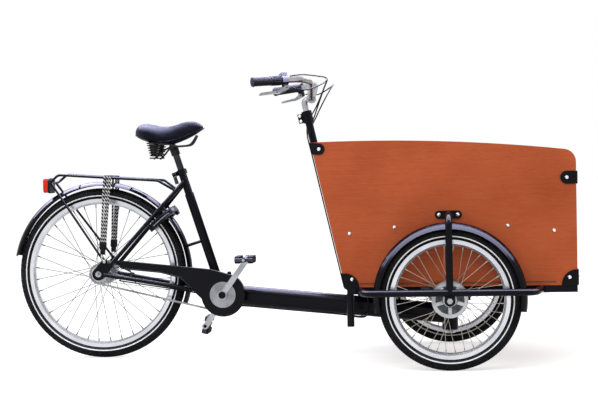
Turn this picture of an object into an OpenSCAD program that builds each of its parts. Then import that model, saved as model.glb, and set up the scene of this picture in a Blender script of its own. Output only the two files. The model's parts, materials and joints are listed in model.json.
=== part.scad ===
// Cargo tricycle: two steered front wheels under a plywood load box and one driven rear wheel.
// Millimetres. +X points the way it rides, +Y to the rider's left, +Z up.
// The origin is on the ground under the middle of the overall length.

/* [Layout] */
// Distance between the rear axle and the front axles
wheelbase = 1325; // [1300:5:1400]
// Distance from the box's side out to a front tyre's middle
wheel_out = 60; // [58:1:80]
// Distance from the rear axle forward to the crank axis
crank_reach = 478; // [470:1:500]
// Height of the crank axis above the ground
crank_h = 244; // [238:1:256]

/* [Wheels] */
// Outer diameter of the rear tyre
rear_tyre_d = 653; // [640:1:666]
// Outer diameter of the front tyres
front_tyre_d = 497; // [490:1:505]
// Width of a tyre's section
tyre_w = 44; // [40:1:47]
// Thickness of a tyre's casing
tyre_wall = 3.5; // [2.5:0.5:5]
// Width of a rim
rim_w = 30; // [28:1:34]
// Radial depth of a rim
rim_depth = 21; // [18:1:24]
// Thickness of a rim's flanges
rim_wall = 2.4; // [1.8:0.1:3]
// Number of spokes in a wheel
spokes = 36; // [24:12:36]
// Diameter of a spoke
spoke_d = 2; // [1.8:0.1:2.4]
// Diameter of a spoke nipple
nipple_d = 4; // [3.5:0.1:5]
// Length of a spoke nipple
nipple_l = 12; // [8:1:15]

/* [Rear hub] */
// Clear width between the rear dropouts
rear_old = 132; // [128:1:140]
// Diameter of the rear axle
rear_axle_d = 10; // [9:0.5:12]
// Radius of the rear hub's flanges
rear_flange_r = 38; // [34:1:42]
// Distance between the rear hub's flanges
rear_flange_gap = 54; // [50:1:58]
// Radius of the rear brake drum
rear_drum_r = 46; // [42:1:50]

/* [Front hubs] */
// Diameter of a front axle
front_axle_d = 12; // [10:0.5:14]
// Outer radius of a front brake drum
drum_r = 58; // [54:1:62]
// Wall of a brake drum
drum_wall = 6; // [5:0.5:8]
// Distance from the wheel's middle to the drum's outer face
drum_out = 28; // [26:1:30]
// Distance from the wheel's middle to the drum's inner edge
drum_in = 44; // [42:1:46]

/* [Drive] */
// Teeth of the chainring
ring_teeth = 33; // [32:1:36]
// Teeth of the rear sprocket
sprocket_teeth = 18; // [16:1:20]
// Pitch of the chain
chain_pitch = 12.7; // [12.7]
// Distance of the chain from the middle plane
chain_line = 56; // [54:0.5:58]
// Height of the chain's side plates
chain_plate_h = 8.4; // [7.5:0.1:9]
// Length of a crank
crank_l = 170; // [160:1:175]
// Thickness of a crank
crank_t = 14; // [12:1:16]
// Angle of the right crank above the forward direction
crank_deg = 54; // [0:1:180]
// Diameter of the crank spindle
spindle_d = 17; // [15:0.5:18]
// Length of a pedal's tread along its spindle
pedal_l = 92; // [80:1:100]
// Width of a pedal fore and aft
pedal_w = 68; // [60:1:76]
// Thickness of a pedal
pedal_t = 26; // [22:1:30]
// Diameter of a pedal spindle
pedal_pin_d = 10; // [9:0.5:11]
// Turn of the left pedal from level
left_pedal_deg = 75; // [-90:1:90]
// Radius of the chain case round the chainring
case_r = 81; // [80:0.5:84]
// Sheet thickness of the chain case
case_t = 2; // [1.5:0.5:2.5]
// Radius of the round cover on the chain case
cover_r = 49; // [44:1:54]

/* [Frame] */
// Height of the main beam's section
beam_h = 74; // [68:1:78]
// Width of the main beam's section
beam_w = 50; // [44:1:54]
// Height of the main beam's middle line at the steering axis
beam_front_z = 157; // [152:1:160]
// Drop of the main beam's middle line below the crank axis
beam_drop = 4; // [0:1:6]
// Length of the bottom bracket shell
shell_l = 73; // [70:1:75]
// Outer diameter of the bottom bracket shell
shell_d = 42; // [41:0.5:45]
// Angle of the seat tube above the level
seat_angle = 72.5; // [70:0.5:74]
// Distance of the seat tube's axis behind the crank axis
seat_setback = 14; // [8:1:18]
// Diameter of the seat tube's lower part
seat_tube_d = 35; // [33:0.5:38]
// Diameter of the seat tube's upper part
seat_sleeve_d = 30; // [29:0.5:32]
// Height of the seat tube's step
seat_step_z = 625; // [600:1:640]
// Height of the seat tube's top
seat_tube_z = 718; // [700:1:735]
// Diameter of the seat post
seat_post_d = 25.4; // [24:0.2:26]
// Diameter of the stays
stay_d = 16; // [14:1:18]
// Thickness of the dropouts
dropout_t = 6; // [5:0.5:7]
// Outer diameter of the head tube
head_d = 60; // [58:1:66]
// Height of the head tube's lower end
head_low_z = 100; // [95:1:105]
// Height of the head tube's upper end
head_top_z = 222; // [215:1:226]
// Diameter of the kingpin
kingpin_d = 25; // [22:1:28]

/* [Rear carrier and mudguard] */
// Distance from the rear tyre to the mudguard's crown
guard_gap = 22; // [20:1:26]
// Distance from the front tyres to their mudguards' crowns
front_guard_gap = 17; // [16:1:20]
// Width of a mudguard
mudguard_w = 60; // [56:1:64]
// Drop of the rear mudguard's edges below its crown
mudguard_drop = 13; // [11:1:14]
// Drop of a front mudguard's edges below its crown
front_drop = 22; // [18:1:24]
// Sheet thickness of a mudguard
mudguard_t = 1.6; // [1.2:0.1:2]
// Angle of the rear mudguard's tail, counted from straight ahead
tail_deg = 168; // [150:1:172]
// Diameter of the carrier's tube
rack_d = 10; // [9:0.5:12]
// Width of the carrier between its rails
rack_w = 116; // [112:1:130]
// Height of the carrier's rear end
rack_rear_z = 707; // [704:1:720]
// Height of the carrier's front end
rack_front_z = 678; // [676:1:684]
// Diameter of the ring lock's shackle
shackle_d = 9; // [8:0.5:10]
// Radius of the ring lock's middle line
lock_r = 60; // [59:0.5:63]

/* [Saddle] */
// Length of the saddle
saddle_l = 264; // [250:1:280]
// Width of the saddle
saddle_w = 206; // [190:1:220]
// Height of the saddle's underside
saddle_z = 822; // [818:1:830]
// Height of the saddle's crown above its underside
saddle_rise = 72; // [64:1:80]
// Wire diameter of a saddle spring
spring_wire = 4; // [3:0.5:5]
// Turns of a saddle spring
spring_turns = 5; // [4:1:6]
// Middle diameter of a saddle spring at its top
spring_top_d = 48; // [42:1:52]
// Middle diameter of a saddle spring at its foot
spring_low_d = 26; // [22:1:32]

/* [Box] */
// Outer width of the box
box_w = 620; // [600:2:620]
// Thickness of the box's plywood
ply_t = 12; // [10:0.5:14]
// Height of the box's lower edge
box_z = 288; // [284:1:296]
// Distance from the front axles forward to the box's front
box_ahead = 442; // [430:1:455]
// Distance from the front axles back to the box's lower rear edge
box_behind = 367; // [355:1:372]
// Lean of the box's rear panel over its height
box_lean = 114; // [100:1:125]
// Height of the box at its rear
box_rear_h = 515; // [500:1:530]
// Radius of the long curve of the side panels' upper edge
box_curve_r = 6000; // [5000:100:8000]
// Distance from the upper rear corner to the crest of that curve
box_crest = 156; // [120:1:200]
// Radius of the side panels' front upper corners
box_corner_r = 45; // [35:1:55]
// Height of the front panel
box_front_h = 402; // [380:1:410]
// Height of the floor's underside above the box's lower edge
floor_up = 8; // [6:1:12]
// Thickness of the floor
floor_t = 9; // [8:0.5:12]
// Length of the floor's tongues through the side panels
tongue_l = 684; // [640:1:700]
// Thickness of a bench board
bench_t = 15; // [12:0.5:18]
// Depth of a bench board
bench_depth = 205; // [180:1:215]
// Height of a bench above the box's lower edge, at its middle
bench_up = 201; // [190:1:215]
// Tilt of a bench board
bench_tilt = 7; // [4:0.5:9]
// Thickness of the corner brackets
bracket_t = 4; // [3:0.5:5]
// Diameter of a bolt's domed head
bolt_d = 15; // [13:0.5:17]
// Height of a bolt's domed head
bolt_h = 6; // [5:0.5:7]

/* [Chassis and wheel guards] */
// Side of the chassis's square tube
rail_w = 25; // [22:1:25]
// Diameter of the steering stops
stop_d = 26; // [22:1:28]
// Height of the steering stops' lower ends
stop_low_z = 147; // [140:1:160]
// Thickness of the plates that hold the front axles
axle_plate_t = 6; // [5:0.5:7]
// Diameter of the wheel guards' tube
guard_d = 24; // [22:1:26]
// Distance from a front tyre's middle out to its guard
guard_out = 60; // [59:1:64]
// Height of the wheel guards' lower bar
guard_z = 276; // [275:1:276]
// Length of the straight part of a wheel guard's lower bar
guard_l = 580; // [576:2:600]
// Height of a wheel guard's upright
upright_z = 540; // [534:1:560]

/* [Steering and controls] */
// Diameter of the handlebar post
post_d = 28.6; // [26:0.2:30]
// Height of the handlebar post
post_z = 928; // [915:1:940]
// Diameter of the stem
stem_d = 22.2; // [21:0.2:23]
// Diameter of the handlebar's tube
bar_d = 22.2; // [21:0.2:23]
// Outer diameter of a grip
grip_d = 32; // [30:0.5:34]
// Length of the left grip
grip_l = 118; // [110:1:122]
// Length of the right grip
right_grip_l = 72; // [68:1:76]
// Length of the gear twist sleeve
twist_l = 40; // [36:1:42]
// Outer diameter of a cable
cable_d = 5; // [4:0.5:5.5]

/* [Hidden] */

// Radial gap of a part that turns or slides in a bore
run_gap = 0.05;
// Gap between pieces that are welded, pressed or screwed together
seat_gap = 0.05;
// Gap between a piece and what carries it
rest_gap = 0.3;
// Extra diameter of a tube's bend, and how far the straights reach into it
bend_extra = 0.4;
bend_lap = 1.5;
// Length by which a cut passes through a face
cut = 1;
round_fn = 48;
$fn = round_fn;
wheel_fn = 180;

rear_r = rear_tyre_d / 2;
front_r = front_tyre_d / 2;
track = box_w + 2 * wheel_out;
tail_r = rear_r + guard_gap + mudguard_t;
front_end = wheelbase + box_ahead + bracket_t + bolt_h;
tail_end = tail_r * cos(tail_deg);
rear_x = -(front_end + tail_end) / 2;
front_x = rear_x + wheelbase;
crank_x = rear_x + crank_reach;
rear_axle_at = [rear_x, 0, rear_r];

// Ends and bends of the left stays, and the eye that holds the carrier
stay_y = rear_old / 2 + dropout_t / 2;
stay_rear = [rear_x + 20, stay_y, rear_r - 2];
stay_front = [rear_x + rear_r + 4, mudguard_w / 2 + stay_d / 2 + 10, crank_h + 24];
stay_shell = [crank_x - 24, shell_l / 2 - 6, crank_h + 2];
seat_stay_low = [rear_x + 45, stay_y, rear_r + 31];
seat_stay_knee = [rear_x + 250, mudguard_w / 2 + stay_d / 2 + 6, rear_r + 258];
eye_at = [rear_x + 26, rear_r + 48];

// The seat tube's axis
seat_dir = [-cos(seat_angle), 0, sin(seat_angle)];
seat_back = [-sin(seat_angle), 0, -cos(seat_angle)];
function seat_at(z) = [crank_x - seat_setback - (z - crank_h) / tan(seat_angle), 0, z];
seat_stay_top = seat_at(seat_tube_z - 46) + [0, seat_sleeve_d / 2 + 2, 0];

function unit(v) = v / norm(v);
function mid(a, b, t) = a + (b - a) * t;
function polar(r, a) = [r * cos(a), r * sin(a)];
function arc_points(c, r, a0, a1, n) = [for (i = [0 : n]) c + polar(r, a0 + (a1 - a0) * i / n)];
function side_of(d) = unit(cross(abs(d[2]) > 0.9 ? [1, 0, 0] : [0, 0, 1], d));
function flip(p) = [p[0], -p[1], p[2]];
function mirrored(path) = [for (i = [len(path) - 1 : -1 : 0]) flip(path[i])];
// Outline of a bar with two round ends of different radii
function bar_outline(a, ra, b, rb, n = 12) =
    let (d = b - a, t = atan2(d[1], d[0]), k = acos((ra - rb) / norm(d)))
    concat(arc_points(a, ra, t + k, t + 360 - k, n), arc_points(b, rb, t - k, t + k, n));

// Puts local +X along x and local +Z along z, with the local origin at o
module place(o, x, z) {
    y = cross(z, x);
    multmatrix([[x[0], y[0], z[0], o[0]], [x[1], y[1], z[1], o[1]], [x[2], y[2], z[2], o[2]]]) children();
}
// Turns an outline drawn in X and Z into a plate whose middle lies at y
module slab(y, t) translate([0, y + t / 2, 0]) rotate([90, 0, 0]) linear_extrude(t) children();
// Lays a turned shape on a cross axis, with its local +Z to the rider's right
module on_axis(at) translate(at) rotate([90, 0, 0]) children();
module pair() {
    children();
    mirror([0, 1, 0]) children();
}
module disc(r, z, h, fn = round_fn) translate([0, 0, z]) cylinder(r = r, h = h, $fn = fn);
module stud(d, z, h, fn = round_fn) disc(d / 2, z, h, fn);
module rod(a, b, d, fn = round_fn) {
    dir = unit(b - a);
    place(a, side_of(dir), dir) cylinder(d = d, h = norm(b - a), $fn = fn);
}
module ring(r_out, r_in, z0, z1, fn = round_fn) translate([0, 0, z0]) difference() {
    cylinder(r = r_out, h = z1 - z0, $fn = fn);
    translate([0, 0, -cut]) cylinder(r = r_in, h = z1 - z0 + 2 * cut, $fn = fn);
}

// A tube bent at each inner point of a path, with one bend radius
function bend_deg(p, i) = acos(unit(p[i] - p[i - 1]) * unit(p[i + 1] - p[i]));
function setback(p, i, r) = i <= 0 || i >= len(p) - 1 ? 0 : r * tan(bend_deg(p, i) / 2);
module bent_tube(p, d, r) {
    last = len(p) - 1;
    for (i = [0 : last - 1]) {
        dir = unit(p[i + 1] - p[i]);
        from = setback(p, i, r) - (i == 0 ? 0 : bend_lap);
        to = setback(p, i + 1, r) - (i == last - 1 ? 0 : bend_lap);
        rod(p[i] + dir * from, p[i + 1] - dir * to, d);
    }
    for (i = [1 : 1 : last - 1]) {
        along = unit(p[i] - p[i - 1]);
        axis = unit(cross(along, p[i + 1] - p[i]));
        inward = cross(axis, along);
        place(p[i] - along * setback(p, i, r) + inward * r, -inward, axis)
            rotate_extrude(angle = bend_deg(p, i), $fn = 2 * round_fn)
                translate([r, 0]) circle(d = d + bend_extra);
    }
}

// A cable swept along a smooth curve through chosen points
cable_sides = 8;
cable_steps = 3;
function spline(p, i, t) =
    let (a = p[max(i - 1, 0)], b = p[i], c = p[i + 1], d = p[min(i + 2, len(p) - 1)])
    0.5 * (2 * b + (c - a) * t + (2 * a - 5 * b + 4 * c - d) * t * t + (3 * b - a - 3 * c + d) * t * t * t);
function smooth_path(p, n) =
    concat([for (i = [0 : len(p) - 2], k = [0 : n - 1]) spline(p, i, k / n)], [p[len(p) - 1]]);
function path_dir(q, i) = unit(q[min(i + 1, len(q) - 1)] - q[max(i - 1, 0)]);
// Side directions carried along the path, so that the tube doesn't twist
function carried(q, i, s) =
    let (t = path_dir(q, i), v = unit(s - t * (s * t)))
    i == len(q) - 1 ? [v] : concat([v], carried(q, i + 1, v));
module swept(q, r, n) {
    sides = carried(q, 0, side_of(path_dir(q, 0)));
    points = [for (i = [0 : len(q) - 1], k = [0 : n - 1])
        let (s = sides[i], u = cross(path_dir(q, i), s), a = 360 * k / n)
        q[i] + r * (cos(a) * s + sin(a) * u)];
    last = (len(q) - 1) * n;
    walls = [for (i = [0 : len(q) - 2], k = [0 : n - 1], half = [0, 1])
        let (a = i * n + k, b = i * n + (k + 1) % n)
        half == 0 ? [a, a + n, b] : [b, a + n, b + n]];
    caps = concat(
        [for (k = [1 : n - 2]) [0, k, k + 1]],
        [for (k = [1 : n - 2]) [last, last + k + 1, last + k]]
    );
    polyhedron(points, concat(walls, caps), convexity = 10);
}
module cable(p, d = cable_d) swept(smooth_path(p, cable_steps), d / 2, cable_sides);

// Tyres, rims and spokes

bead_w = rim_w - 2 * rim_wall - 2 * rest_gap;
function rim_top(r) = r - tyre_w / 2 - sqrt(pow(tyre_w / 2, 2) - pow(bead_w / 2, 2)) - rest_gap;
function rim_low(r) = rim_top(r) - rim_depth;
rim_floor = 7;
rim_seat = 9;
module tyre(r) rotate_extrude($fn = wheel_fn) difference() {
    union() {
        translate([r - tyre_w / 2, 0]) circle(d = tyre_w, $fn = 64);
        translate([rim_low(r) + rim_seat + rest_gap, -bead_w / 2])
            square([r - tyre_w / 2 - rim_low(r) - rim_seat - rest_gap, bead_w]);
    }
    translate([r - tyre_w / 2, 0]) circle(d = tyre_w - 2 * tyre_wall, $fn = 64);
    translate([rim_low(r), -bead_w / 2 + tyre_wall])
        square([r - tyre_w / 2 - rim_low(r), bead_w - 2 * tyre_wall]);
}
module rim(r) rotate_extrude($fn = wheel_fn) polygon([
    [rim_low(r), -rim_w / 4], [rim_low(r) + rim_floor, -rim_w / 2], [rim_top(r), -rim_w / 2],
    [rim_top(r), -rim_w / 2 + rim_wall], [rim_low(r) + rim_seat, -rim_w / 2 + rim_wall],
    [rim_low(r) + rim_floor - 2, -rim_w / 6], [rim_low(r) + rim_floor - 2, rim_w / 6],
    [rim_low(r) + rim_seat, rim_w / 2 - rim_wall], [rim_top(r), rim_w / 2 - rim_wall],
    [rim_top(r), rim_w / 2], [rim_low(r) + rim_floor, rim_w / 2], [rim_low(r), rim_w / 4]
]);

flange_t = 3;
rim_stagger = 3;
// Extra gap of the spokes on a flange's outer face, which lean in over its edge
spoke_lean = 0.9;
// Spokes from flanges at z0 and z1 to a rim at z = 0, alternately on each face of a flange
module spoke_set(r_hub, z0, z1, r_rim, twist) for (k = [0 : spokes - 1]) {
    right = k % 2 == 0;
    lead = floor(k / 2) % 2 == 0 ? 1 : -1;
    a = (k + 0.5) * 360 / spokes;
    face = lead * (flange_t / 2 + spoke_d / 2 + rest_gap + (lead > 0 ? spoke_lean : 0));
    foot = concat(polar(r_hub, a + lead * twist), [right ? z1 + face : z0 - face]);
    tip = concat(polar(r_rim - rest_gap, a),
        [(right ? 1 : -1) * (rim_stagger + lead * (spoke_d / 2 + rest_gap))]);
    rod(foot, tip, spoke_d, 16);
    rod(tip - unit(tip - foot) * nipple_l, tip, nipple_d, 16);
}

// Rear wheel

rear_flange_z = rear_flange_gap / 2;
rear_spoke_r = rear_flange_r - 4;
rear_spoke_twist = 50;
hub_barrel_r = 29;
sprocket_t = 2.4;
sprocket_bore_r = 16;
drum_space = 6;
rear_drum_end = rear_old / 2 - 12;
rear_hub_end = chain_line + 4;
shoe_gap = 1;

module rear_tyre() color("#1b1b1c") on_axis(rear_axle_at) tyre(rear_r);
module rear_rim() color("#c8cacf") on_axis(rear_axle_at) rim(rear_r);
module rear_hub() color("#b8bbbf") on_axis(rear_axle_at) {
    difference() {
        union() {
            disc(hub_barrel_r, -rear_drum_end, rear_drum_end + rear_flange_z);
            for (s = [-1, 1]) disc(rear_flange_r, s * rear_flange_z - flange_t / 2, flange_t);
            disc(rear_drum_r, -rear_drum_end, rear_drum_end - rear_flange_z - drum_space);
            cylinder(r = sprocket_bore_r + 5, h = chain_line - sprocket_t / 2 - rest_gap);
            cylinder(r = sprocket_bore_r - run_gap, h = rear_hub_end);
        }
        disc(rear_axle_d / 2 + run_gap, -rear_drum_end - cut, rear_drum_end + rear_hub_end + 2 * cut);
        ring(rear_drum_r - drum_wall, rear_axle_d / 2 + drum_wall,
            -rear_drum_end - cut, -rear_flange_z - drum_space - drum_wall);
    }
    spoke_set(rear_spoke_r, -rear_flange_z, rear_flange_z, rim_low(rear_r), rear_spoke_twist);
}
nut_t = 8;
washer_t = 1.5;
nut_flats = 15;
axle_tip = 14;
dropout_out = rear_old / 2 + dropout_t;
axle_half = dropout_out + washer_t + nut_t + axle_tip;
module hex_nut(bore, flats, h) difference() {
    cylinder(d = flats / cos(30), h = h, $fn = 6);
    stud(bore, -cut, h + 2 * cut);
}
module rear_axle() color("#9da1a6") {
    on_axis(rear_axle_at) {
        stud(rear_axle_d - 1, -axle_half, 2 * axle_half);
        stud(rear_axle_d, axle_tip - axle_half, 2 * (axle_half - axle_tip));
    }
    bore = rear_axle_d + 2 * seat_gap;
    pair() on_axis(rear_axle_at) {
        ring(nut_flats * 0.75, bore / 2, dropout_out, dropout_out + washer_t);
        translate([0, 0, dropout_out + washer_t + seat_gap]) hex_nut(bore, nut_flats, nut_t);
    }
    on_axis(rear_axle_at) ring(rear_axle_d * 0.9, bore / 2, rear_hub_end + rest_gap, rear_old / 2 - seat_gap);
    // Bolts that hold the carrier's tabs on the dropouts
    pair() on_axis([eye_at[0], 0, eye_at[1]]) {
        stud(eye_d, rear_old / 2 - 2, tab_y + tab_t / 2 + 4 - rear_old / 2 + 2, 24);
        stud(2 * eye_d, tab_y + tab_t / 2 + seat_gap, 5, 24);
    }
}
brake_plate_t = 3;
// Two shoes inside a drum of inner radius r, between z0 and z1
module shoes(r, z0, z1) for (a = [0, 180]) rotate([0, 0, a + 12]) translate([0, 0, z0])
    rotate_extrude(angle = 156) translate([r - shoe_gap - 7, 0]) square([7, z1 - z0]);
rear_plate_z = rear_old / 2 - seat_gap;
arm_end = mid(stay_rear, stay_front, 0.25);
module rear_brake() color("#3a3c40") {
    bore = rear_axle_d / 2 + seat_gap;
    inner = rear_drum_end + rest_gap;
    on_axis(rear_axle_at) mirror([0, 0, 1]) {
        ring(rear_drum_r, bore, inner, inner + brake_plate_t);
        ring(rear_axle_d * 0.9, bore, inner, rear_plate_z);
        shoes(rear_drum_r - drum_wall, rear_flange_z + drum_space + drum_wall + rest_gap, inner + cut);
    }
    difference() {
        union() {
            rod(rear_axle_at + [30, inner + brake_plate_t / 2 + 1, 30], arm_end + [-4, 0, 14], 7);
            rod(arm_end - unit(stay_front - stay_rear) * 7, arm_end + unit(stay_front - stay_rear) * 7, stay_d + 8);
        }
        rod(stay_rear, stay_front, stay_d + 2 * seat_gap);
        on_axis(rear_axle_at) mirror([0, 0, 1]) ring(rear_drum_r + 2, 1, 0, inner);
    }
}

// Chain drive

ring_r = chain_pitch / 2 / sin(180 / ring_teeth);
sprocket_r = chain_pitch / 2 / sin(180 / sprocket_teeth);
ring_at = [crank_x, crank_h];
sprocket_at = [rear_x, rear_r];
crank_at = [crank_x, 0, crank_h];
centre_d = norm(ring_at - sprocket_at);
centre_deg = atan2(crank_h - rear_r, crank_reach);
run_deg = asin((ring_r - sprocket_r) / centre_d);
top_deg = centre_deg + run_deg + 90;
low_deg = centre_deg - run_deg - 90;
run_l = centre_d * cos(run_deg);
ring_arc = ring_r * (top_deg - low_deg) * PI / 180;
sprocket_arc = sprocket_r * (360 - top_deg + low_deg) * PI / 180;
chain_l = ring_arc + sprocket_arc + 2 * run_l;
links = 2 * round(chain_l / chain_pitch / 2);
link_l = chain_l / links;
// Angles of the pins nearest the middle of each wrap, which set the two sets of teeth
ring_pin_deg = top_deg - floor(ring_arc / 2 / link_l) * link_l / ring_r * 180 / PI;
sprocket_first = ring_arc + run_l;
sprocket_pin = round((sprocket_first + sprocket_arc / 2) / link_l) * link_l;
sprocket_pin_deg = low_deg - (sprocket_pin - sprocket_first) / sprocket_r * 180 / PI;
function chain_outline(h) = concat(
    arc_points(ring_at, ring_r + h, top_deg, low_deg, 36),
    arc_points(sprocket_at, sprocket_r + h, low_deg, top_deg - 360, 24)
);
function chain_pin(s) =
    s < ring_arc ? ring_at + polar(ring_r, top_deg - s / ring_r * 180 / PI) :
    s < sprocket_first ? mid(ring_at + polar(ring_r, low_deg), sprocket_at + polar(sprocket_r, low_deg),
        (s - ring_arc) / run_l) :
    s < sprocket_first + sprocket_arc ?
        sprocket_at + polar(sprocket_r, low_deg - (s - sprocket_first) / sprocket_r * 180 / PI) :
    mid(sprocket_at + polar(sprocket_r, top_deg), ring_at + polar(ring_r, top_deg),
        (s - sprocket_first - sprocket_arc) / run_l);
roller_d = 7.75;
plate_in = 1.8;
plate_t = 1.2;
tooth_gap_r = 5.2;
tooth_h = 1.7;
module chain() color("#5a5650") {
    for (s = [-1, 1]) slab(-chain_line + s * (plate_in + plate_t / 2), plate_t) difference() {
        polygon(chain_outline(chain_plate_h / 2));
        polygon(chain_outline(-chain_plate_h / 2));
    }
    for (i = [0 : links - 1])
        translate([chain_pin(i * link_l)[0], plate_in + plate_t / 2 - chain_line, chain_pin(i * link_l)[1]])
            rotate([90, 0, 0]) cylinder(d = roller_d, h = 2 * plate_in + plate_t, $fn = 24);
}
module toothed_disc(r, teeth, first_deg, t) difference() {
    cylinder(r = r + tooth_h, h = t, $fn = 2 * round_fn);
    for (k = [0 : teeth - 1]) rotate([0, 0, first_deg + k * 360 / teeth])
        translate([r, 0, -cut]) cylinder(r = tooth_gap_r, h = t + 2 * cut, $fn = 24);
}
module rear_sprocket() color("#77797c") on_axis(rear_axle_at + [0, -chain_line + sprocket_t / 2, 0]) difference() {
    toothed_disc(sprocket_r, sprocket_teeth, sprocket_pin_deg, sprocket_t);
    disc(sprocket_bore_r, -cut, sprocket_t + 2 * cut);
}

// Cranks and pedals. The chain case stands between the chainring and the right crank.

case_in = shell_l / 2 + 3;
case_y = chain_line + 18;
cover_t = 4;
cover_y = case_y + 1.5;
crank_in = cover_y + cover_t + rest_gap;
crank_out = crank_in + crank_t;
sleeve_r = spindle_d / 2 + 6;
crank_boss_r = 18;
crank_eye_r = 12;
crank_arm_r = 10;
function pedal_at(a) = crank_at + [crank_l * cos(a), 0, crank_l * sin(a)];
module crank_spindle() color("#8d9196") {
    on_axis(crank_at + [0, crank_out, 0]) cylinder(d = spindle_d, h = 2 * crank_out);
    for (s = [0, 1]) mirror([0, s, 0]) on_axis(crank_at)
        disc(crank_boss_r - 5, crank_out + seat_gap, 3);
    for (s = [0, 1]) mirror([0, s, 0]) on_axis(pedal_at(crank_deg + 180 * s))
        stud(pedal_pin_d, crank_in, pedal_far - crank_in);
}
module crank(a) difference() {
    slab(-(crank_in + crank_out) / 2, crank_t) {
        polygon(bar_outline(ring_at, crank_arm_r + 1, ring_at + polar(crank_l, a), crank_arm_r));
        translate(ring_at) circle(r = crank_boss_r);
        translate(ring_at + polar(crank_l, a)) circle(r = crank_eye_r);
    }
    on_axis(crank_at) cylinder(d = spindle_d + 2 * seat_gap, h = 2 * crank_out);
    on_axis(pedal_at(a)) cylinder(d = pedal_pin_d + 2 * seat_gap, h = 2 * crank_out);
}
module right_crank() color("#a9adb3") crank(crank_deg);
module left_crank() color("#a9adb3") mirror([0, 1, 0]) crank(crank_deg + 180);
ring_window_r = 14;
module chainring() color("#4a4c50") difference() {
    on_axis(crank_at) {
        translate([0, 0, chain_line - sprocket_t / 2]) difference() {
            toothed_disc(ring_r, ring_teeth, ring_pin_deg, sprocket_t);
            for (k = [0 : 4]) rotate([0, 0, 72 * k])
                translate([ring_r * 0.62, 0, -cut]) cylinder(r = ring_window_r, h = sprocket_t + 2 * cut, $fn = 32);
        }
        disc(sleeve_r, chain_line - sprocket_t / 2, crank_in - seat_gap - chain_line + sprocket_t / 2);
    }
    on_axis(crank_at) cylinder(d = spindle_d + 2 * seat_gap, h = crank_out);
}
module crank_cover() color("#b4b7bb") on_axis(crank_at) {
    ring(cover_r, sleeve_r + seat_gap, cover_y, cover_y + cover_t, 2 * round_fn);
}

pedal_near = crank_out + 10;
pedal_far = pedal_near + pedal_l + 4;
barrel_r = 10;
tread_w = 20;
module pedal() {
    rail = 5;
    difference() {
        union() {
            disc(barrel_r, pedal_near, pedal_l);
            for (z = [pedal_near, pedal_near + pedal_l - rail]) translate([-pedal_w / 2, -pedal_t / 4, z])
                cube([pedal_w, pedal_t / 2, rail]);
            for (s = [-1, 1]) translate([s * (pedal_w - tread_w) / 2 - tread_w / 2, -pedal_t / 2, pedal_near + rail / 2])
                cube([tread_w, pedal_t, pedal_l - rail]);
        }
        cylinder(d = pedal_pin_d + 2 * run_gap, h = pedal_far + cut);
    }
}
module right_pedal() color("#222325") on_axis(pedal_at(crank_deg)) pedal();
module left_pedal() color("#222325") mirror([0, 1, 0]) on_axis(pedal_at(crank_deg + 180)) rotate([0, 0, left_pedal_deg]) pedal();

// Chain case: a sheet face with a turned edge, open towards the lower run of the chain

case_top = 22;
case_low = 6;
case_tail = 80;
run_dir = polar(1, top_deg - 90);
run_up = polar(1, top_deg);
function along_run(x, up) = sprocket_at + polar(sprocket_r, top_deg) + run_dir * x + run_up * up;
function case_outline(inset) = concat(
    arc_points(along_run(case_tail + (case_top + case_low) / 2, (case_top - case_low) / 2),
        (case_top + case_low) / 2 - inset, top_deg + 180, top_deg, 10),
    [along_run(crank_reach * 0.9, case_top - inset)],
    arc_points(ring_at, case_r - inset, 58, -170, 30),
    [along_run(crank_reach * 0.66, -case_low * 3 + inset), along_run(crank_reach * 0.5, -case_low + inset)]
);
case_hole_r = sleeve_r + 6;
mouth_deg = [-168, -112];
module chain_case() color("#17181a") difference() {
    union() {
        difference() {
            slab(-(case_in + case_y) / 2, case_y - case_in) polygon(case_outline(0));
            slab(-(case_in + case_y) / 2 + case_t, case_y - case_in) polygon(case_outline(case_t));
            // Open lower edge of the arm
            slab(-(case_in + case_y) / 2 + case_t, case_y - case_in) polygon([
                along_run(case_tail - case_t, chain_plate_h / 2 + 2),
                along_run(case_tail + case_top / 2, chain_plate_h / 2 + 2),
                along_run(crank_reach * 0.66, 0), ring_at,
                ring_at + polar(2 * case_r, mouth_deg[1]), sprocket_at + [case_tail, -case_r]
            ]);
        }
        slab(-case_in - 1.5, 3) difference() {
            union() {
                circle_at(ring_at, shell_d / 2 + 3);
                polygon(bar_outline(ring_at, 12, ring_at + polar(case_r - case_t / 2, 75), 8));
                polygon(bar_outline(ring_at, 12, ring_at + polar(case_r - case_t / 2, -20), 8));
            }
            polygon(concat(arc_points(ring_at, case_r + 20, 0, 360, 60), arc_points(ring_at, case_r, 360, 0, 60)));
        }
    }
    on_axis(crank_at) {
        disc(case_hole_r, case_y - 9, 12);
        cylinder(r = spindle_d / 2 + 3.5, h = case_y);
    }
}
module circle_at(c, r) translate(c) circle(r = r);

// Welded rear frame

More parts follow.
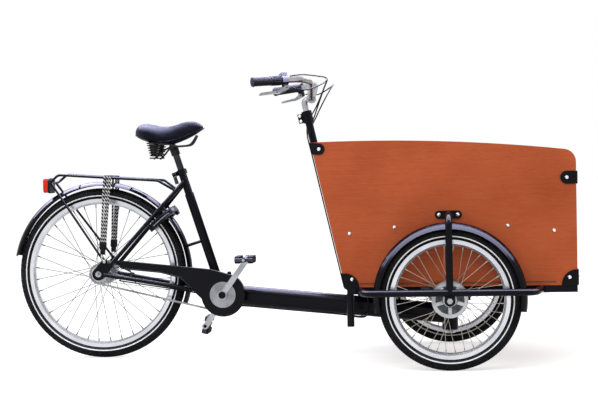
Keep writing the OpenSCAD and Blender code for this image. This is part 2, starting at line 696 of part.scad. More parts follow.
beam_tail = 36;
cup_d = 34;
cup_l = 20;
bush_d = 40;
bush_l = 30;
bush_flange = 4;
beam_front = [front_x, 0, beam_front_z];
beam_slope = (crank_h - beam_drop - beam_front_z) / (front_x - crank_x);
beam_rear = [crank_x - beam_tail, 0, crank_h - beam_drop + beam_slope * beam_tail];
beam_dir = unit(beam_front - beam_rear);
beam_up = cross(beam_dir, [0, 1, 0]);
module beam_bar(grow = 0) place(beam_rear, beam_up, beam_dir) linear_extrude(norm(beam_front - beam_rear)) {
    for (s = [-1, 1]) translate([s * (beam_h - beam_w) / 2, 0]) circle(d = beam_w + 2 * grow);
    square([beam_h - beam_w, beam_w + 2 * grow], center = true);
}
module shell_bar(d) on_axis(crank_at) cylinder(d = d, h = shell_l, center = true);
module main_beam() color("#16171a") difference() {
    union() {
        beam_bar();
        shell_bar(shell_d);
        translate([front_x, 0, head_low_z]) cylinder(d = head_d, h = head_top_z - head_low_z);
    }
    on_axis(crank_at) cylinder(d = cup_d, h = shell_l + 2 * cut, center = true);
    translate([front_x, 0, head_low_z - cut])
        cylinder(d = bush_d, h = head_top_z - head_low_z + 2 * cut);
}
module bearings() color("#a3875a") {
    for (s = [0, 1]) mirror([0, s, 0]) on_axis(crank_at) {
        ring(cup_d / 2 - seat_gap, spindle_d / 2 + run_gap, shell_l / 2 - cup_l, shell_l / 2 + seat_gap);
        ring(shell_d / 2 - 1, spindle_d / 2 + run_gap, shell_l / 2 + seat_gap, case_in - seat_gap);
    }
    translate([front_x, 0, 0]) {
        bore = kingpin_d / 2 + run_gap;
        ring(bush_d / 2 - seat_gap, bore, head_top_z - bush_l, head_top_z + seat_gap);
        ring(head_d / 2 - 2, bore, head_top_z + seat_gap, head_top_z + bush_flange);
        ring(bush_d / 2 - seat_gap, bore, head_low_z - seat_gap, head_low_z + bush_l);
        ring(head_d / 2 - 2, bore, head_low_z - bush_flange, head_low_z - seat_gap);
    }
}
bridge_d = 12;
bridge_z = 447;
seat_bore_z = 490;
module seat_tube() color("#16171a") {
    to_axle = rear_axle_at - seat_at(bridge_z);
    difference() {
        union() {
            rod(seat_at(crank_h), seat_at(seat_step_z), seat_tube_d);
            rod(seat_at(seat_step_z) - seat_dir, seat_at(seat_tube_z), seat_sleeve_d);
            rod(seat_at(bridge_z), rear_axle_at - unit(to_axle) * (tail_r + rest_gap), bridge_d);
        }
        beam_bar(seat_gap);
        rod(seat_at(seat_bore_z), seat_at(seat_tube_z) + seat_dir, seat_post_d + 2 * run_gap);
    }
}
module dropout(t) slab(stay_y, t) {
    polygon(bar_outline(sprocket_at, 24, eye_at, 10));
    polygon(bar_outline(sprocket_at, 24, [seat_stay_low[0], seat_stay_low[2]], 12));
}
eye_d = 6;
module chain_stays() color("#16171a") pair() difference() {
    union() {
        bent_tube([stay_shell, stay_front, stay_rear], stay_d, 80);
        dropout(dropout_t);
    }
    beam_bar(seat_gap);
    shell_bar(shell_d + 2 * seat_gap);
    on_axis(rear_axle_at) cylinder(d = rear_axle_d + 2 * seat_gap, h = 4 * rear_old, center = true);
    on_axis([eye_at[0], 0, eye_at[1]]) cylinder(d = eye_d + 2 * seat_gap, h = 4 * rear_old, center = true);
}
module left_seat_stay(grow = 0) bent_tube([seat_stay_low, seat_stay_knee, seat_stay_top], stay_d + 2 * grow, 80);
module seat_stays() color("#16171a") pair() difference() {
    left_seat_stay();
    dropout(dropout_t + 2 * seat_gap);
    rod(seat_at(seat_step_z), seat_at(seat_tube_z), seat_sleeve_d + 2 * seat_gap);
    rod(seat_at(crank_h), seat_at(seat_step_z), seat_tube_d + 2 * seat_gap);
}

// Rear mudguard, carrier, lamp and straps

mudguard_steps = 10;
function mudguard_line(r, drop) = [for (i = [-mudguard_steps : 2 : mudguard_steps])
    let (u = i / mudguard_steps) [r - drop * u * u, u * mudguard_w / 2]];
function reversed(p) = [for (i = [len(p) - 1 : -1 : 0]) p[i]];
module mudguard(r, a0, a1, drop) rotate([0, 0, a0]) rotate_extrude(angle = a1 - a0, $fn = wheel_fn)
    polygon(concat(mudguard_line(r + mudguard_t, drop), reversed(mudguard_line(r, drop))));
rear_guard_deg = -20;
module rear_mudguard() color("#141416") on_axis(rear_axle_at)
    mudguard(rear_r + guard_gap, rear_guard_deg, tail_deg, mudguard_drop);

rail_front = [rear_x + 236, rack_w / 2, rack_front_z];
rail_rear = [rear_x - 150, rack_w / 2, rack_rear_z];
rack_loop = [rear_x - 187, rack_w / 2, rack_rear_z - 31];
rack_foot = mid(seat_stay_knee, seat_stay_top, 0.6);
rack_bend = 22;
rack_stay_y = rack_w / 2 - rack_bend - 4;
tab_y = dropout_out + rest_gap + 1.5;
tab_t = 3;
stay_foot = [eye_at[0] - 7, dropout_out + rest_gap + 0.45 * rack_d, eye_at[1] + 9];
cross_bars = [0.12, 0.42, 0.72];
function rail_at(t) = mid(rail_rear, rail_front, t);
hanger_x = rear_x + 20;
hanger_t = (hanger_x - rail_rear[0]) / (rail_front[0] - rail_rear[0]);
module rear_rack() color("#1a1a1c") difference() {
    union() {
        bent_tube([rack_foot, rail_front, rail_rear, rack_loop, flip(rack_loop), flip(rail_rear),
            flip(rail_front), flip(rack_foot)], rack_d, rack_bend);
        for (t = cross_bars) rod(rail_at(t), flip(rail_at(t)), rack_d * 0.8);
        pair() {
            rod([rack_loop[0], rack_stay_y, rack_loop[2]], stay_foot, rack_d * 0.9);
            slab(tab_y, tab_t) difference() {
                polygon(bar_outline(eye_at, 9, [stay_foot[0], stay_foot[2]], 6));
                translate(eye_at) circle(d = eye_d + 2 * seat_gap);
            }
        }
        // Cross bar over the mudguard's crown and the hanger under it
        rod(rail_at(hanger_t), flip(rail_at(hanger_t)), rack_d * 0.8);
        rod([hanger_x, 0, rear_r + tail_r + rest_gap], [hanger_x, 0, rail_at(hanger_t)[2]], 8);
    }
    pair() left_seat_stay(seat_gap);
}
lamp_w = 76;
lamp_h = 58;
lamp_lens_t = 20;
lamp_body_t = 8;
lamp_corner = 14;
module rounded_rect(w, h, r) {
    for (x = [-1, 1], y = [-1, 1]) translate([x * (w / 2 - r), y * (h / 2 - r)]) circle(r = r);
    square([w - 2 * r, h], center = true);
    square([w, h - 2 * r], center = true);
}
module tail_lamp() color("#8c1417") {
    face_x = rack_loop[0] - rack_d / 2 - rest_gap;
    translate([face_x, 0, rack_loop[2] - 10]) rotate([0, -90, 0]) {
        linear_extrude(lamp_body_t) rounded_rect(lamp_h, lamp_w, lamp_corner);
        translate([0, 0, lamp_body_t + seat_gap]) linear_extrude(lamp_lens_t)
            rounded_rect(lamp_h - 4, lamp_w - 4, lamp_corner);
    }
}
strap_w = 8;
strap_t = 3;
strap_pitch = 9.5;
strap_x = rear_x + 25;
strap_z = rear_r + 122;
strap_lean = 4.4;
strap_foot_y = tab_y + 6;
hook_w = 32;
hook_h = 46;
function half_strap(r, foot, rise) = concat([[foot, 0]], arc_points([rack_w / 2, rise], r, 0, 90, 8));
function strap_line(r, foot, rise) = let (p = half_strap(r, foot, rise)) concat(p, [for (q = reversed(p)) [-q[0], q[1]]]);
module carrier_straps() color("#d9d9d6") {
    rail_z = rail_at((strap_x + 19 - rail_rear[0]) / (rail_front[0] - rail_rear[0]))[2];
    rise = (rail_z - strap_z) / cos(strap_lean);
    bend = rack_d / 2 + rest_gap;
    translate([strap_x, 0, strap_z]) rotate([0, strap_lean, 0]) {
        for (k = [-1 : 1]) translate([k * strap_pitch - strap_w / 2, 0, 0]) rotate([90, 0, 90]) linear_extrude(strap_w)
            polygon(concat(strap_line(bend + strap_t, strap_foot_y + strap_t, rise),
                reversed(strap_line(bend, strap_foot_y, rise))));
        pair() translate([-hook_w / 2, strap_foot_y, -hook_h]) cube([hook_w, strap_t + 1, hook_h + 8]);
    }
    pair() rod([strap_x, strap_foot_y + 2, strap_z - hook_h + 4], [eye_at[0] - 2, strap_foot_y + 2, eye_at[1] + 8], 4);
}

// Ring lock, square to the wheel on the seat stays, with a shackle that turns through the spokes

lock_deg = round(40 * spokes / 360) * 360 / spokes;
lock_out = [cos(lock_deg), 0, sin(lock_deg)];
lock_axis = [-sin(lock_deg), 0, cos(lock_deg)];
lock_gap = 4;
lock_centre = rim_low(rear_r) + lock_r - shackle_d / 2 - lock_gap - 4;
lock_at = rear_axle_at + lock_out * lock_centre;
lock_open_deg = 38;
shackle_span = 112;
lock_travel = 2 * lock_open_deg + 6;
lock_body_w = 22;
lock_body_t = 24;
channel_d = shackle_d + 2 * rest_gap;
knob_deg = shackle_span - 8;
module lock_arc(a0, a1) rotate([0, 0, a0]) rotate_extrude(angle = a1 - a0, $fn = 2 * round_fn) children();
// Where the lug along the lock's axis at radius r meets the middle line of the left seat stay
lug_r = lock_centre + lock_r * 0.66;
function stay_meet() =
    let (a = seat_stay_low, d = seat_stay_knee - seat_stay_low, q = rear_axle_at + lock_out * lug_r - a)
    a + d * ((q * lock_out) / (d * lock_out));
module ring_lock() color("#1c1d20") difference() {
    union() {
        place(lock_at, lock_out, lock_axis) difference() {
            union() {
                lock_arc(-180 + lock_open_deg, 180 - lock_open_deg) translate([lock_r, 0])
                    square([lock_body_w, lock_body_t], center = true);
                translate([lock_r, 0, -lock_body_t / 2 - 12]) cylinder(d = 17, h = 14);
            }
            lock_arc(-180 + lock_open_deg - 1, -180 + lock_open_deg + shackle_span + 3)
                translate([lock_r, 0]) circle(d = channel_d, $fn = 32);
            lock_arc(180 - lock_open_deg - 8, 180 - lock_open_deg + 1)
                translate([lock_r, 0]) circle(d = channel_d, $fn = 32);
            lock_arc(-180 + lock_open_deg + knob_deg - lock_travel - 6, -180 + lock_open_deg + knob_deg + 6)
                translate([lock_r, -4]) square([lock_body_w, 8]);
        }
        reach = lock_axis * (stay_meet() - lock_at);
        pair() rod(stay_meet(), stay_meet() - lock_axis * (reach - sign(reach) * (lock_body_t / 2 - 4)), 9);
    }
    pair() left_seat_stay(seat_gap);
}
module lock_shackle() color("#b9bcc0") place(lock_at, lock_out, lock_axis) {
    start = -180 + lock_open_deg + 1;
    lock_arc(start, start + shackle_span) translate([lock_r, 0]) circle(d = shackle_d, $fn = 32);
    rotate([0, 0, start + knob_deg - 1]) translate([lock_r, 0, 0]) rotate([0, 90, 0])
        cylinder(d = 6, h = lock_body_w / 2 + 4);
    rotate([0, 0, start + knob_deg - 1]) translate([lock_r + lock_body_w / 2 + 2, 0, 0]) rotate([0, 90, 0])
        cylinder(d = 14, h = 10);
}

// Seat clamp with its lever, seat post and saddle

clamp_h = 18;
clamp_r = 20;
skewer_x = clamp_r + 8;
skewer_d = 5;
lever_y = 18;
lever_l = 38;
module at_clamp() place(seat_at(seat_tube_z) - seat_dir * (clamp_h + 2), seat_back, seat_dir) children();
module seat_clamp() color("#8f9398") at_clamp() {
    difference() {
        union() {
            cylinder(r = clamp_r, h = clamp_h);
            for (s = [-1, 1]) translate([clamp_r - 4, s * 5.5 - 3.5, 1]) cube([20, 7, clamp_h - 2]);
        }
        stud(seat_sleeve_d + 2 * seat_gap, -cut, clamp_h + 2 * cut);
        translate([0, -2, -cut]) cube([clamp_r * 2, 4, clamp_h + 2 * cut]);
    }
    translate([skewer_x, -13, clamp_h / 2]) rotate([-90, 0, 0]) cylinder(d = skewer_d, h = 13 + lever_y);
    translate([skewer_x - 8, lever_y, clamp_h / 2]) rotate([0, 90, 0]) cylinder(d = 6, h = 16);
    translate([skewer_x, -16, clamp_h / 2]) rotate([-90, 0, 0]) cylinder(d = 12, h = 6.95);
}
module clamp_lever() color("#2a2b2e") at_clamp() difference() {
    union() {
        for (s = [-1, 1]) translate([skewer_x + s * 5 - 1.5, lever_y, clamp_h / 2]) rotate([0, 90, 0])
            cylinder(r = 7, h = 3);
        translate([skewer_x - 6.5, lever_y - 3, clamp_h / 2 - lever_l]) cube([13, 6, lever_l - 10]);
        for (s = [-1, 1]) translate([skewer_x + s * 5 - 1.5, lever_y - 3, clamp_h / 2 - 12]) cube([3, 6, 10]);
    }
    translate([skewer_x - 9, lever_y, clamp_h / 2]) rotate([0, 90, 0])
        cylinder(d = 6 + 2 * run_gap, h = 18);
}
post_top_z = saddle_z - 30;
post_low_z = 530;
module seat_post() color("#5b5e63") rod(seat_at(post_low_z), seat_at(post_top_z), seat_post_d);

saddle_x = rear_x + 144;
saddle_rows = 26;
saddle_ring = 24;
// Share of the full half width, along the saddle from its rear edge to its nose
function saddle_half(s) =
    s < 0.25 ? sqrt(1 - pow((0.25 - s) / 0.25, 2)) :
    s < 0.68 ? 0.635 + 0.365 * cos((s - 0.25) / 0.43 * 180) :
    s < 0.92 ? 0.27 - 0.02 * (s - 0.68) / 0.24 :
    0.25 * sqrt(1 - pow((s - 0.92) / 0.08, 2));
function saddle_low(s) = s < 0.3 ? 28 * pow((0.3 - s) / 0.3, 2) : s < 0.55 ? 0 : 44 * pow((s - 0.55) / 0.45, 1.5);
function saddle_top(s) = saddle_rise * (
    s < 0.12 ? 0.99 - 0.35 * pow((0.12 - s) / 0.12, 2) :
    s < 0.46 ? 0.90 + 0.09 * cos((s - 0.12) / 0.34 * 180) :
    s < 0.85 ? 0.945 - 0.135 * cos((s - 0.46) / 0.39 * 180) :
    1.08 - 0.26 * pow((s - 0.85) / 0.15, 2));
function bulge(v, p) = sign(v) * pow(abs(v), p);
function saddle_point(s, a) =
    let (w = max(saddle_half(s) * saddle_w / 2, 3), low = saddle_low(s), top = saddle_top(s),
        mid_z = low + 0.5 * (top - low), tuck = sin(a) < 0 ? 1 + 0.14 * sin(a) : 1)
    [saddle_x + s * saddle_l, bulge(cos(a), 0.75) * w * tuck,
        saddle_z + (sin(a) > 0 ? mid_z + (top - mid_z) * pow(sin(a), 0.85) : mid_z - (mid_z - low) * pow(-sin(a), 0.5))];
module saddle() color("#161617") {
    rows = [for (i = [0 : saddle_rows]) let (t = i / saddle_rows) 0.5 - 0.5 * cos(180 * t)];
    n = saddle_ring;
    points = concat(
        [for (s = rows, k = [0 : n - 1]) saddle_point(s, 360 * k / n)],
        [[saddle_x, 0, saddle_point(0, 0)[2]], [saddle_x + saddle_l, 0, saddle_point(1, 0)[2]]]
    );
    tail = (saddle_rows + 1) * n;
    last = saddle_rows * n;
    polyhedron(points, concat(
        [for (i = [0 : saddle_rows - 1], k = [0 : n - 1], half = [0, 1])
            let (a = i * n + k, b = i * n + (k + 1) % n)
            half == 0 ? [a, b, a + n] : [b, b + n, a + n]],
        [for (k = [0 : n - 1]) [tail, (k + 1) % n, k]],
        [for (k = [0 : n - 1]) [tail + 1, last + k, last + (k + 1) % n]]
    ), convexity = 6);
}

// Springs and wire frame under the saddle
rail_wire = 7;
spring_at = [rear_x + 223, 57];
spring_foot_z = saddle_z - 62;
foot_t = 3;
spring_steps = 8;
spring_low = spring_foot_z + foot_t + rest_gap + 1.5 * spring_wire;
spring_top = saddle_z - rest_gap - 1.5 * spring_wire;
function spring_point(t) =
    let (a = 360 * spring_turns * t, r = (spring_low_d + (spring_top_d - spring_low_d) * t) / 2)
    [spring_at[0] + r * cos(a), spring_at[1] + r * sin(a), spring_low + (spring_top - spring_low) * t];
spring_coil = [for (i = [0 : spring_steps * spring_turns]) spring_point(i / spring_steps / spring_turns)];
spring_path = concat([spring_coil[0] - [0, 0, spring_wire]], spring_coil,
    [spring_coil[len(spring_coil) - 1] + [0, 0, spring_wire]]);
spring_self_gap = min([for (i = [0 : len(spring_coil) - 1], k = [i + spring_steps / 2 : len(spring_coil) - 1])
    norm(spring_coil[i] - spring_coil[k])]) - spring_wire;
echo(spring_self_gap = spring_self_gap);
saddle_rail = [[rear_x + 380, 10, saddle_z + saddle_low(0.894) - rest_gap - 1], [rear_x + 352, 20, saddle_z - 13],
    [rear_x + 288, 22, saddle_z - 17], [spring_at[0], spring_at[1], spring_foot_z - 2]];
saddle_clamp_d = 34;
module saddle_springs() color("#2b2c2f") {
    pair() swept(spring_path, spring_wire / 2, 6);
    difference() {
        union() {
            pair() {
                bent_tube(saddle_rail, rail_wire, 20);
                translate([spring_at[0], spring_at[1], spring_foot_z]) cylinder(r = spring_low_d / 2 + 4, h = foot_t);
            }
            rod(seat_at(post_top_z) - seat_dir * 20, seat_at(post_top_z) + seat_dir * 9, saddle_clamp_d);
            rod(seat_at(saddle_z - 16) - [0, 30, 0], seat_at(saddle_z - 16) + [0, 30, 0], 20);
        }
        rod(seat_at(post_top_z) - seat_dir * 40, seat_at(post_top_z) + seat_dir * seat_gap, seat_post_d + 2 * seat_gap);
    }
}

// Load box: side panels with a long curved upper edge, leaning rear panel, upright front panel

box_half = box_w / 2;
inner_half = box_half - ply_t;
box_rear_x = front_x - box_behind;
box_front_x = front_x + box_ahead;
box_top_x = box_rear_x - box_lean;
box_top_z = box_z + box_rear_h;
crest_x = box_top_x + box_crest;
crest_z = box_top_z + box_curve_r - sqrt(box_curve_r * box_curve_r - box_crest * box_crest);
rear_up = unit([-box_lean, box_rear_h]);
rear_out = [-rear_up[1], rear_up[0]];
rear_ply_x = ply_t / rear_up[1];
function upper_edge(x) = crest_z - box_curve_r + sqrt(box_curve_r * box_curve_r - pow(x - crest_x, 2));
function rear_edge(z) = box_rear_x - (z - box_z) * box_lean / box_rear_h;
edge_end_x = box_front_x - box_corner_r * 0.88;
edge_end_deg = asin((edge_end_x - crest_x) / box_curve_r);
corner_at = [box_front_x - box_corner_r, upper_edge(edge_end_x) - box_corner_r * cos(edge_end_deg)];
edge_steps = 20;
side_outline = concat(
    [[box_rear_x, box_z], [box_front_x, box_z]],
    arc_points(corner_at, box_corner_r, 0, 90 - edge_end_deg, 8),
    [for (i = [1 : edge_steps]) let (x = mid(edge_end_x, box_top_x, i / edge_steps)) [x, upper_edge(x)]]
);
tongue_x = (box_rear_x + box_front_x - tongue_l) / 2 - 10;
tongue_drop = 1;
module tongue_area(grow) translate([tongue_x - grow, box_z + floor_up - grow])
    square([tongue_l + 2 * grow, floor_t - tongue_drop + 2 * grow]);

// Bolts through the side panels: bench bolts, then bracket bolts
bolt_pin_d = 6;
bench_bolt_reach = 80;
bench_z = box_z + bench_up;
rear_bench_x = box_rear_x + bench_depth / 2 - 4;
front_bench_x = box_front_x - ply_t - bench_depth / 2 - 43;
function bench_bolts(x, tilt) = [for (s = [-1, 1]) [x, bench_z] + s * bench_bolt_reach * polar(1, tilt)];
all_bench_bolts = concat(bench_bolts(rear_bench_x, bench_tilt), bench_bolts(front_bench_x, -bench_tilt));
top_tab_z = box_z + 374;
front_tab_w = 45;
quarter_rear = 50;
quarter_front = 55;
bracket_bolts = [
    [box_top_x + 31, box_top_z - 24], [box_front_x - front_tab_w / 2 - 10, top_tab_z],
    [box_rear_x + quarter_rear / 2, box_z + quarter_rear / 2 + 4],
    [box_front_x - quarter_front / 2, box_z + quarter_front / 2]
];
upright_bolts = [[front_x - 33, upright_z], [front_x + 33, upright_z]];
module side_bores(list) for (p = list) on_axis([p[0], 0, p[1]])
    cylinder(d = bolt_pin_d + 2 * seat_gap, h = 2 * box_w, center = true, $fn = 24);

module box_sides() color("#b2602f") pair() difference() {
    slab(box_half - ply_t / 2, ply_t) difference() {
        polygon(side_outline);
        tongue_area(seat_gap);
    }
    side_bores(concat(all_bench_bolts, bracket_bolts, upright_bolts));
}
module box_front() color("#a9582b") translate([box_front_x - ply_t, -inner_half + seat_gap, box_z])
    cube([ply_t, 2 * inner_half - 2 * seat_gap, box_front_h]);
module box_rear() color("#a9582b") slab(0, 2 * inner_half - 2 * seat_gap) polygon([
    [box_rear_x, box_z], [box_rear_x + rear_ply_x, box_z], [box_top_x + rear_ply_x, box_top_z], [box_top_x, box_top_z]
]);
module box_floor() color("#8f4a26") {
    rear_edge_x = box_rear_x + rear_ply_x + seat_gap;
    translate([rear_edge_x, -inner_half + seat_gap, box_z + floor_up])
        cube([box_front_x - ply_t - seat_gap - rear_edge_x, 2 * inner_half - 2 * seat_gap, floor_t]);
    slab(0, box_w) tongue_area(0);
}
module benches() color("#a9582b") for (b = [[rear_bench_x, bench_tilt], [front_bench_x, -bench_tilt]]) difference() {
    translate([b[0], 0, bench_z]) rotate([0, -b[1], 0])
        cube([bench_depth, 2 * inner_half - 2 * seat_gap, bench_t], center = true);
    for (p = bench_bolts(b[0], b[1])) pair() on_axis([p[0], box_half, p[1]])
        cylinder(d = bolt_pin_d + 2 * seat_gap, h = ply_t + bench_bolt_in + cut, $fn = 24);
}
bench_bolt_in = 25;

// Corner brackets: a tab on the side panel and a leg round the corner
leg_w = 45;
bracket_y = box_half + bracket_t / 2;
module side_tab() slab(bracket_y + seat_gap, bracket_t) children();
module corner_leg() slab(box_half - leg_w / 2 + bracket_t / 2 + seat_gap, leg_w + bracket_t) children();
function rear_leg(z0, z1) = [
    [rear_edge(z0), z0] + rear_out * seat_gap, [rear_edge(z0), z0] + rear_out * bracket_t,
    [rear_edge(z1), z1] + rear_out * bracket_t, [rear_edge(z1), z1] + rear_out * seat_gap
];
module behind_rear_edge() polygon([
    [box_rear_x, box_z] + rear_out * bracket_t - rear_up * 80, [box_top_x, box_top_z] + rear_out * bracket_t + rear_up * 80,
    [box_top_x, box_top_z] + rear_out * 90 + rear_up * 80, [box_rear_x, box_z] + rear_out * 90 - rear_up * 80
]);
module corner_brackets() color("#151617") pair() {
    side_tab() difference() {
        polygon(bar_outline([box_top_x - 4, box_top_z - 20], 20, bracket_bolts[0], 20));
        behind_rear_edge();
        translate(bracket_bolts[0]) circle(d = bolt_pin_d + 2 * seat_gap, $fn = 24);
    }
    corner_leg() polygon(rear_leg(box_top_z - 42, box_top_z - 2));
    side_tab() difference() {
        polygon(bar_outline([box_front_x - 10, top_tab_z], front_tab_w / 2, bracket_bolts[1], front_tab_w / 2));
        translate([box_front_x + bracket_t, box_z]) square(box_rear_h);
        translate(bracket_bolts[1]) circle(d = bolt_pin_d + 2 * seat_gap, $fn = 24);
    }
    corner_leg() translate([box_front_x + seat_gap, top_tab_z - front_tab_w / 2]) square([bracket_t - seat_gap, front_tab_w]);
    side_tab() difference() {
        polygon(concat([[rear_edge(box_z + quarter_rear), box_z + quarter_rear] + rear_out * bracket_t,
            [box_rear_x, box_z] + rear_out * bracket_t], [[box_rear_x, box_z]],
            arc_points([box_rear_x, box_z], quarter_rear, 0, 90, 10)));
        translate(bracket_bolts[2]) circle(d = bolt_pin_d + 2 * seat_gap, $fn = 24);
    }
    corner_leg() polygon(rear_leg(box_z + 1, box_z + quarter_rear));
    side_tab() difference() {
        polygon(concat([[box_front_x + bracket_t, box_z], [box_front_x + bracket_t, box_z + quarter_front]],
            arc_points([box_front_x, box_z], quarter_front, 90, 180, 10)));
        translate(bracket_bolts[3]) circle(d = bolt_pin_d + 2 * seat_gap, $fn = 24);
    }
    corner_leg() translate([box_front_x + seat_gap, box_z]) square([bracket_t - seat_gap, quarter_front]);
}
dome_r = (pow(bolt_d / 2, 2) + bolt_h * bolt_h) / 2 / bolt_h;
// A domed head that stands on z = 0, with its pin below it
module bolt(pin) {
    translate([0, 0, seat_gap]) intersection() {
        translate([0, 0, bolt_h - seat_gap - dome_r]) sphere(r = dome_r);
        cylinder(r = bolt_d, h = bolt_h, $fn = 24);
    }
    stud(bolt_pin_d, -pin, pin + 1, 24);
}
module side_bolt(p, y, pin) translate([p[0], y, p[1]]) rotate([-90, 0, 0]) bolt(pin);
module box_bolts() color("#c9ccd0") {
    pair() {
        for (p = all_bench_bolts) side_bolt(p, box_half, ply_t + bench_bolt_in);
        for (p = bracket_bolts) side_bolt(p, box_half + bracket_t + seat_gap, ply_t + bracket_t);
        for (p = upright_bolts) side_bolt(p, box_half + bracket_t + seat_gap, ply_t + bracket_t);
        for (z = [top_tab_z, box_z + quarter_front / 2])
            translate([box_front_x + bracket_t, box_half - leg_w / 2, z]) rotate([0, 90, 0]) bolt(-0.5);
    }
    for (z = post_bolts) translate(post_at(post_z) + post_dir * z + post_out * (collar_ear - 9) - [0, 8, 0])
        rotate([90, 0, 0]) bolt(-0.5);
}

// Chassis under the box, with the pivot plate, steering stops and inner axle plates

rail_out = box_half - 1.5;
rail_z = box_z - rail_w;
cross_z = rail_z - rail_w;
cross_x = 60;
lap = 1;
pivot_z = head_top_z + bush_flange + rest_gap;
pivot_half = 80;
stop_x = box_rear_x + 16;
stop_y = box_half - 20;
axle_eye_r = 19;
module axle_plate(y, t, top) difference() {
    slab(y, t) {
        translate([front_x, front_r]) circle(r = axle_eye_r);
        translate([front_x - axle_eye_r + 1, front_r]) square([2 * axle_eye_r - 2, top - front_r]);
    }
    on_axis([front_x, 0, front_r]) cylinder(d = front_axle_d + 2 * seat_gap, h = 3 * track, center = true);
}
module chassis_frame() color("#151618") difference() {
    union() {
        for (s = [-1, 1]) {
            translate([box_rear_x + 6, s * (rail_out - rail_w / 2) - rail_w / 2, rail_z])
                cube([box_front_x - box_rear_x - 6, rail_w, rail_w - seat_gap]);
            translate([front_x + s * cross_x - rail_w / 2, -rail_out, cross_z]) cube([rail_w, 2 * rail_out, rail_w + lap]);
        }
        for (x = [box_rear_x + 6, box_front_x - rail_w])
            translate([x, -rail_out + lap, rail_z]) cube([rail_w, 2 * rail_out - 2 * lap, rail_w - seat_gap]);
        translate([front_x - pivot_half, -pivot_half, pivot_z]) cube([2 * pivot_half, 2 * pivot_half, cross_z + lap - pivot_z]);
        pair() {
            translate([stop_x, stop_y, stop_low_z]) cylinder(d = stop_d, h = rail_z + lap - stop_low_z);
            axle_plate(rail_out - lap / 2 + axle_plate_t / 2, axle_plate_t + lap, box_z - lap);
        }
    }
    translate([front_x, 0, pivot_z - cut]) cylinder(d = kingpin_d + 2 * seat_gap, h = pivot_z);
}
kingpin_nut = 10;
kingpin_head = 8;
module kingpin() color("#8a8e93") translate([front_x, 0, 0]) {
    low = head_low_z - bush_flange - rest_gap;
    stud(kingpin_d + 16, low - kingpin_nut, kingpin_nut, 6);
    stud(kingpin_d, low - kingpin_nut, cross_z + lap + kingpin_head - low + kingpin_nut);
    stud(kingpin_d + 16, cross_z + lap + seat_gap, kingpin_head);
}

// Wheel guards outside the front wheels, which also hold the outer ends of the axles

guard_y = track / 2 + guard_out;
guard_bend = 50;
guard_splay = 30;
guard_foot_l = 48;
module wheel_guards() color("#16171a") pair() {
    corner = front_x + guard_l / 2;
    tail = front_x - guard_l / 2;
    bent_tube([[tail - guard_splay, rail_out + 3, guard_z], [tail, guard_y, guard_z], [corner, guard_y, guard_z],
        [corner + guard_splay, rail_out + 3, guard_z]], guard_d, guard_bend);
    for (x = [tail - guard_splay, corner + guard_splay]) translate([x - guard_foot_l / 2, rail_out + seat_gap, rail_z])
        cube([guard_foot_l, 6, rail_w - lap]);
    bent_tube([[front_x, guard_y, guard_z], [front_x, guard_y, upright_z], [front_x, box_half + lap, upright_z]],
        guard_d, 40);
    side_tab() difference() {
        polygon(bar_outline(upright_bolts[0], 14, upright_bolts[1], 14));
        for (p = upright_bolts) translate(p) circle(d = bolt_pin_d + 2 * seat_gap, $fn = 24);
    }
    axle_plate(guard_y, axle_plate_t, guard_z);
}
front_guard_r = front_r + front_guard_gap;
guard_tip_deg = -10;
module front_mudguards() color("#17181a") pair() {
    on_axis([front_x, track / 2, front_r])
        mudguard(front_guard_r, guard_tip_deg, 180 - guard_tip_deg, front_drop);
    rod([front_x, track / 2, front_r + front_guard_r], [front_x, track / 2, upright_z - guard_d / 2 - bend_extra - rest_gap], 10);
    inset = 3;
    edge_u = 1 - 2 * inset / mudguard_w;
    edge_r = front_guard_r + mudguard_t / 2 - front_drop * edge_u * edge_u;
    edge_x = sqrt(pow(edge_r, 2) - pow(guard_z - front_r, 2));
    for (s = [-1, 1]) rod([front_x + s * edge_x, track / 2 + mudguard_w / 2 - inset, guard_z],
        [front_x + s * edge_x, guard_y - guard_d / 2 - rest_gap, guard_z], 7);
}

// Front wheels. Along an axle, z counts outwards from the tyre's middle.

right_wheel_at = [front_x, -track / 2, front_r];
axle_in = -(track / 2 - rail_out - axle_plate_t);
axle_out = guard_out - axle_plate_t / 2;
drum_flange_r = drum_r + 5;
drum_flange_in = 6;
hub_end = drum_out + 6;
drum_floor = 12;
front_spoke_twist = 14;
module front_hub() {
    difference() {
        union() {
            disc(drum_r, -drum_in, drum_in + drum_out, 2 * round_fn);
            for (z = [-drum_in + drum_flange_in, drum_out - drum_flange_in]) disc(drum_flange_r, z - flange_t / 2, flange_t, 2 * round_fn);
            cylinder(r = front_axle_d / 2 + 12, h = hub_end);
        }
        stud(front_axle_d + 2 * run_gap, -drum_in - cut, drum_in + hub_end + 2 * cut);
        ring(drum_r - drum_wall, front_axle_d / 2 + 6, -drum_in - cut, -drum_floor, 2 * round_fn);
        ring(drum_r - 8, front_axle_d / 2 + 18, drum_out - 2, drum_out + cut, 2 * round_fn);
    }
    spoke_set(drum_flange_r - 3, -drum_in + drum_flange_in, drum_out - drum_flange_in, rim_low(front_r), front_spoke_twist);
}
module right_tyre() color("#1b1b1c") on_axis(right_wheel_at) tyre(front_r);
module right_rim() color("#c8cacf") on_axis(right_wheel_at) rim(front_r);
module right_hub() color("#b8bbbf") on_axis(right_wheel_at) front_hub();
module left_tyre() color("#1b1b1c") mirror([0, 1, 0]) on_axis(right_wheel_at) tyre(front_r);
module left_rim() color("#c8cacf") mirror([0, 1, 0]) on_axis(right_wheel_at) rim(front_r);
module left_hub() color("#b8bbbf") mirror([0, 1, 0]) on_axis(right_wheel_at) front_hub();
front_nut_t = 9;
brake_in = -drum_in - rest_gap;
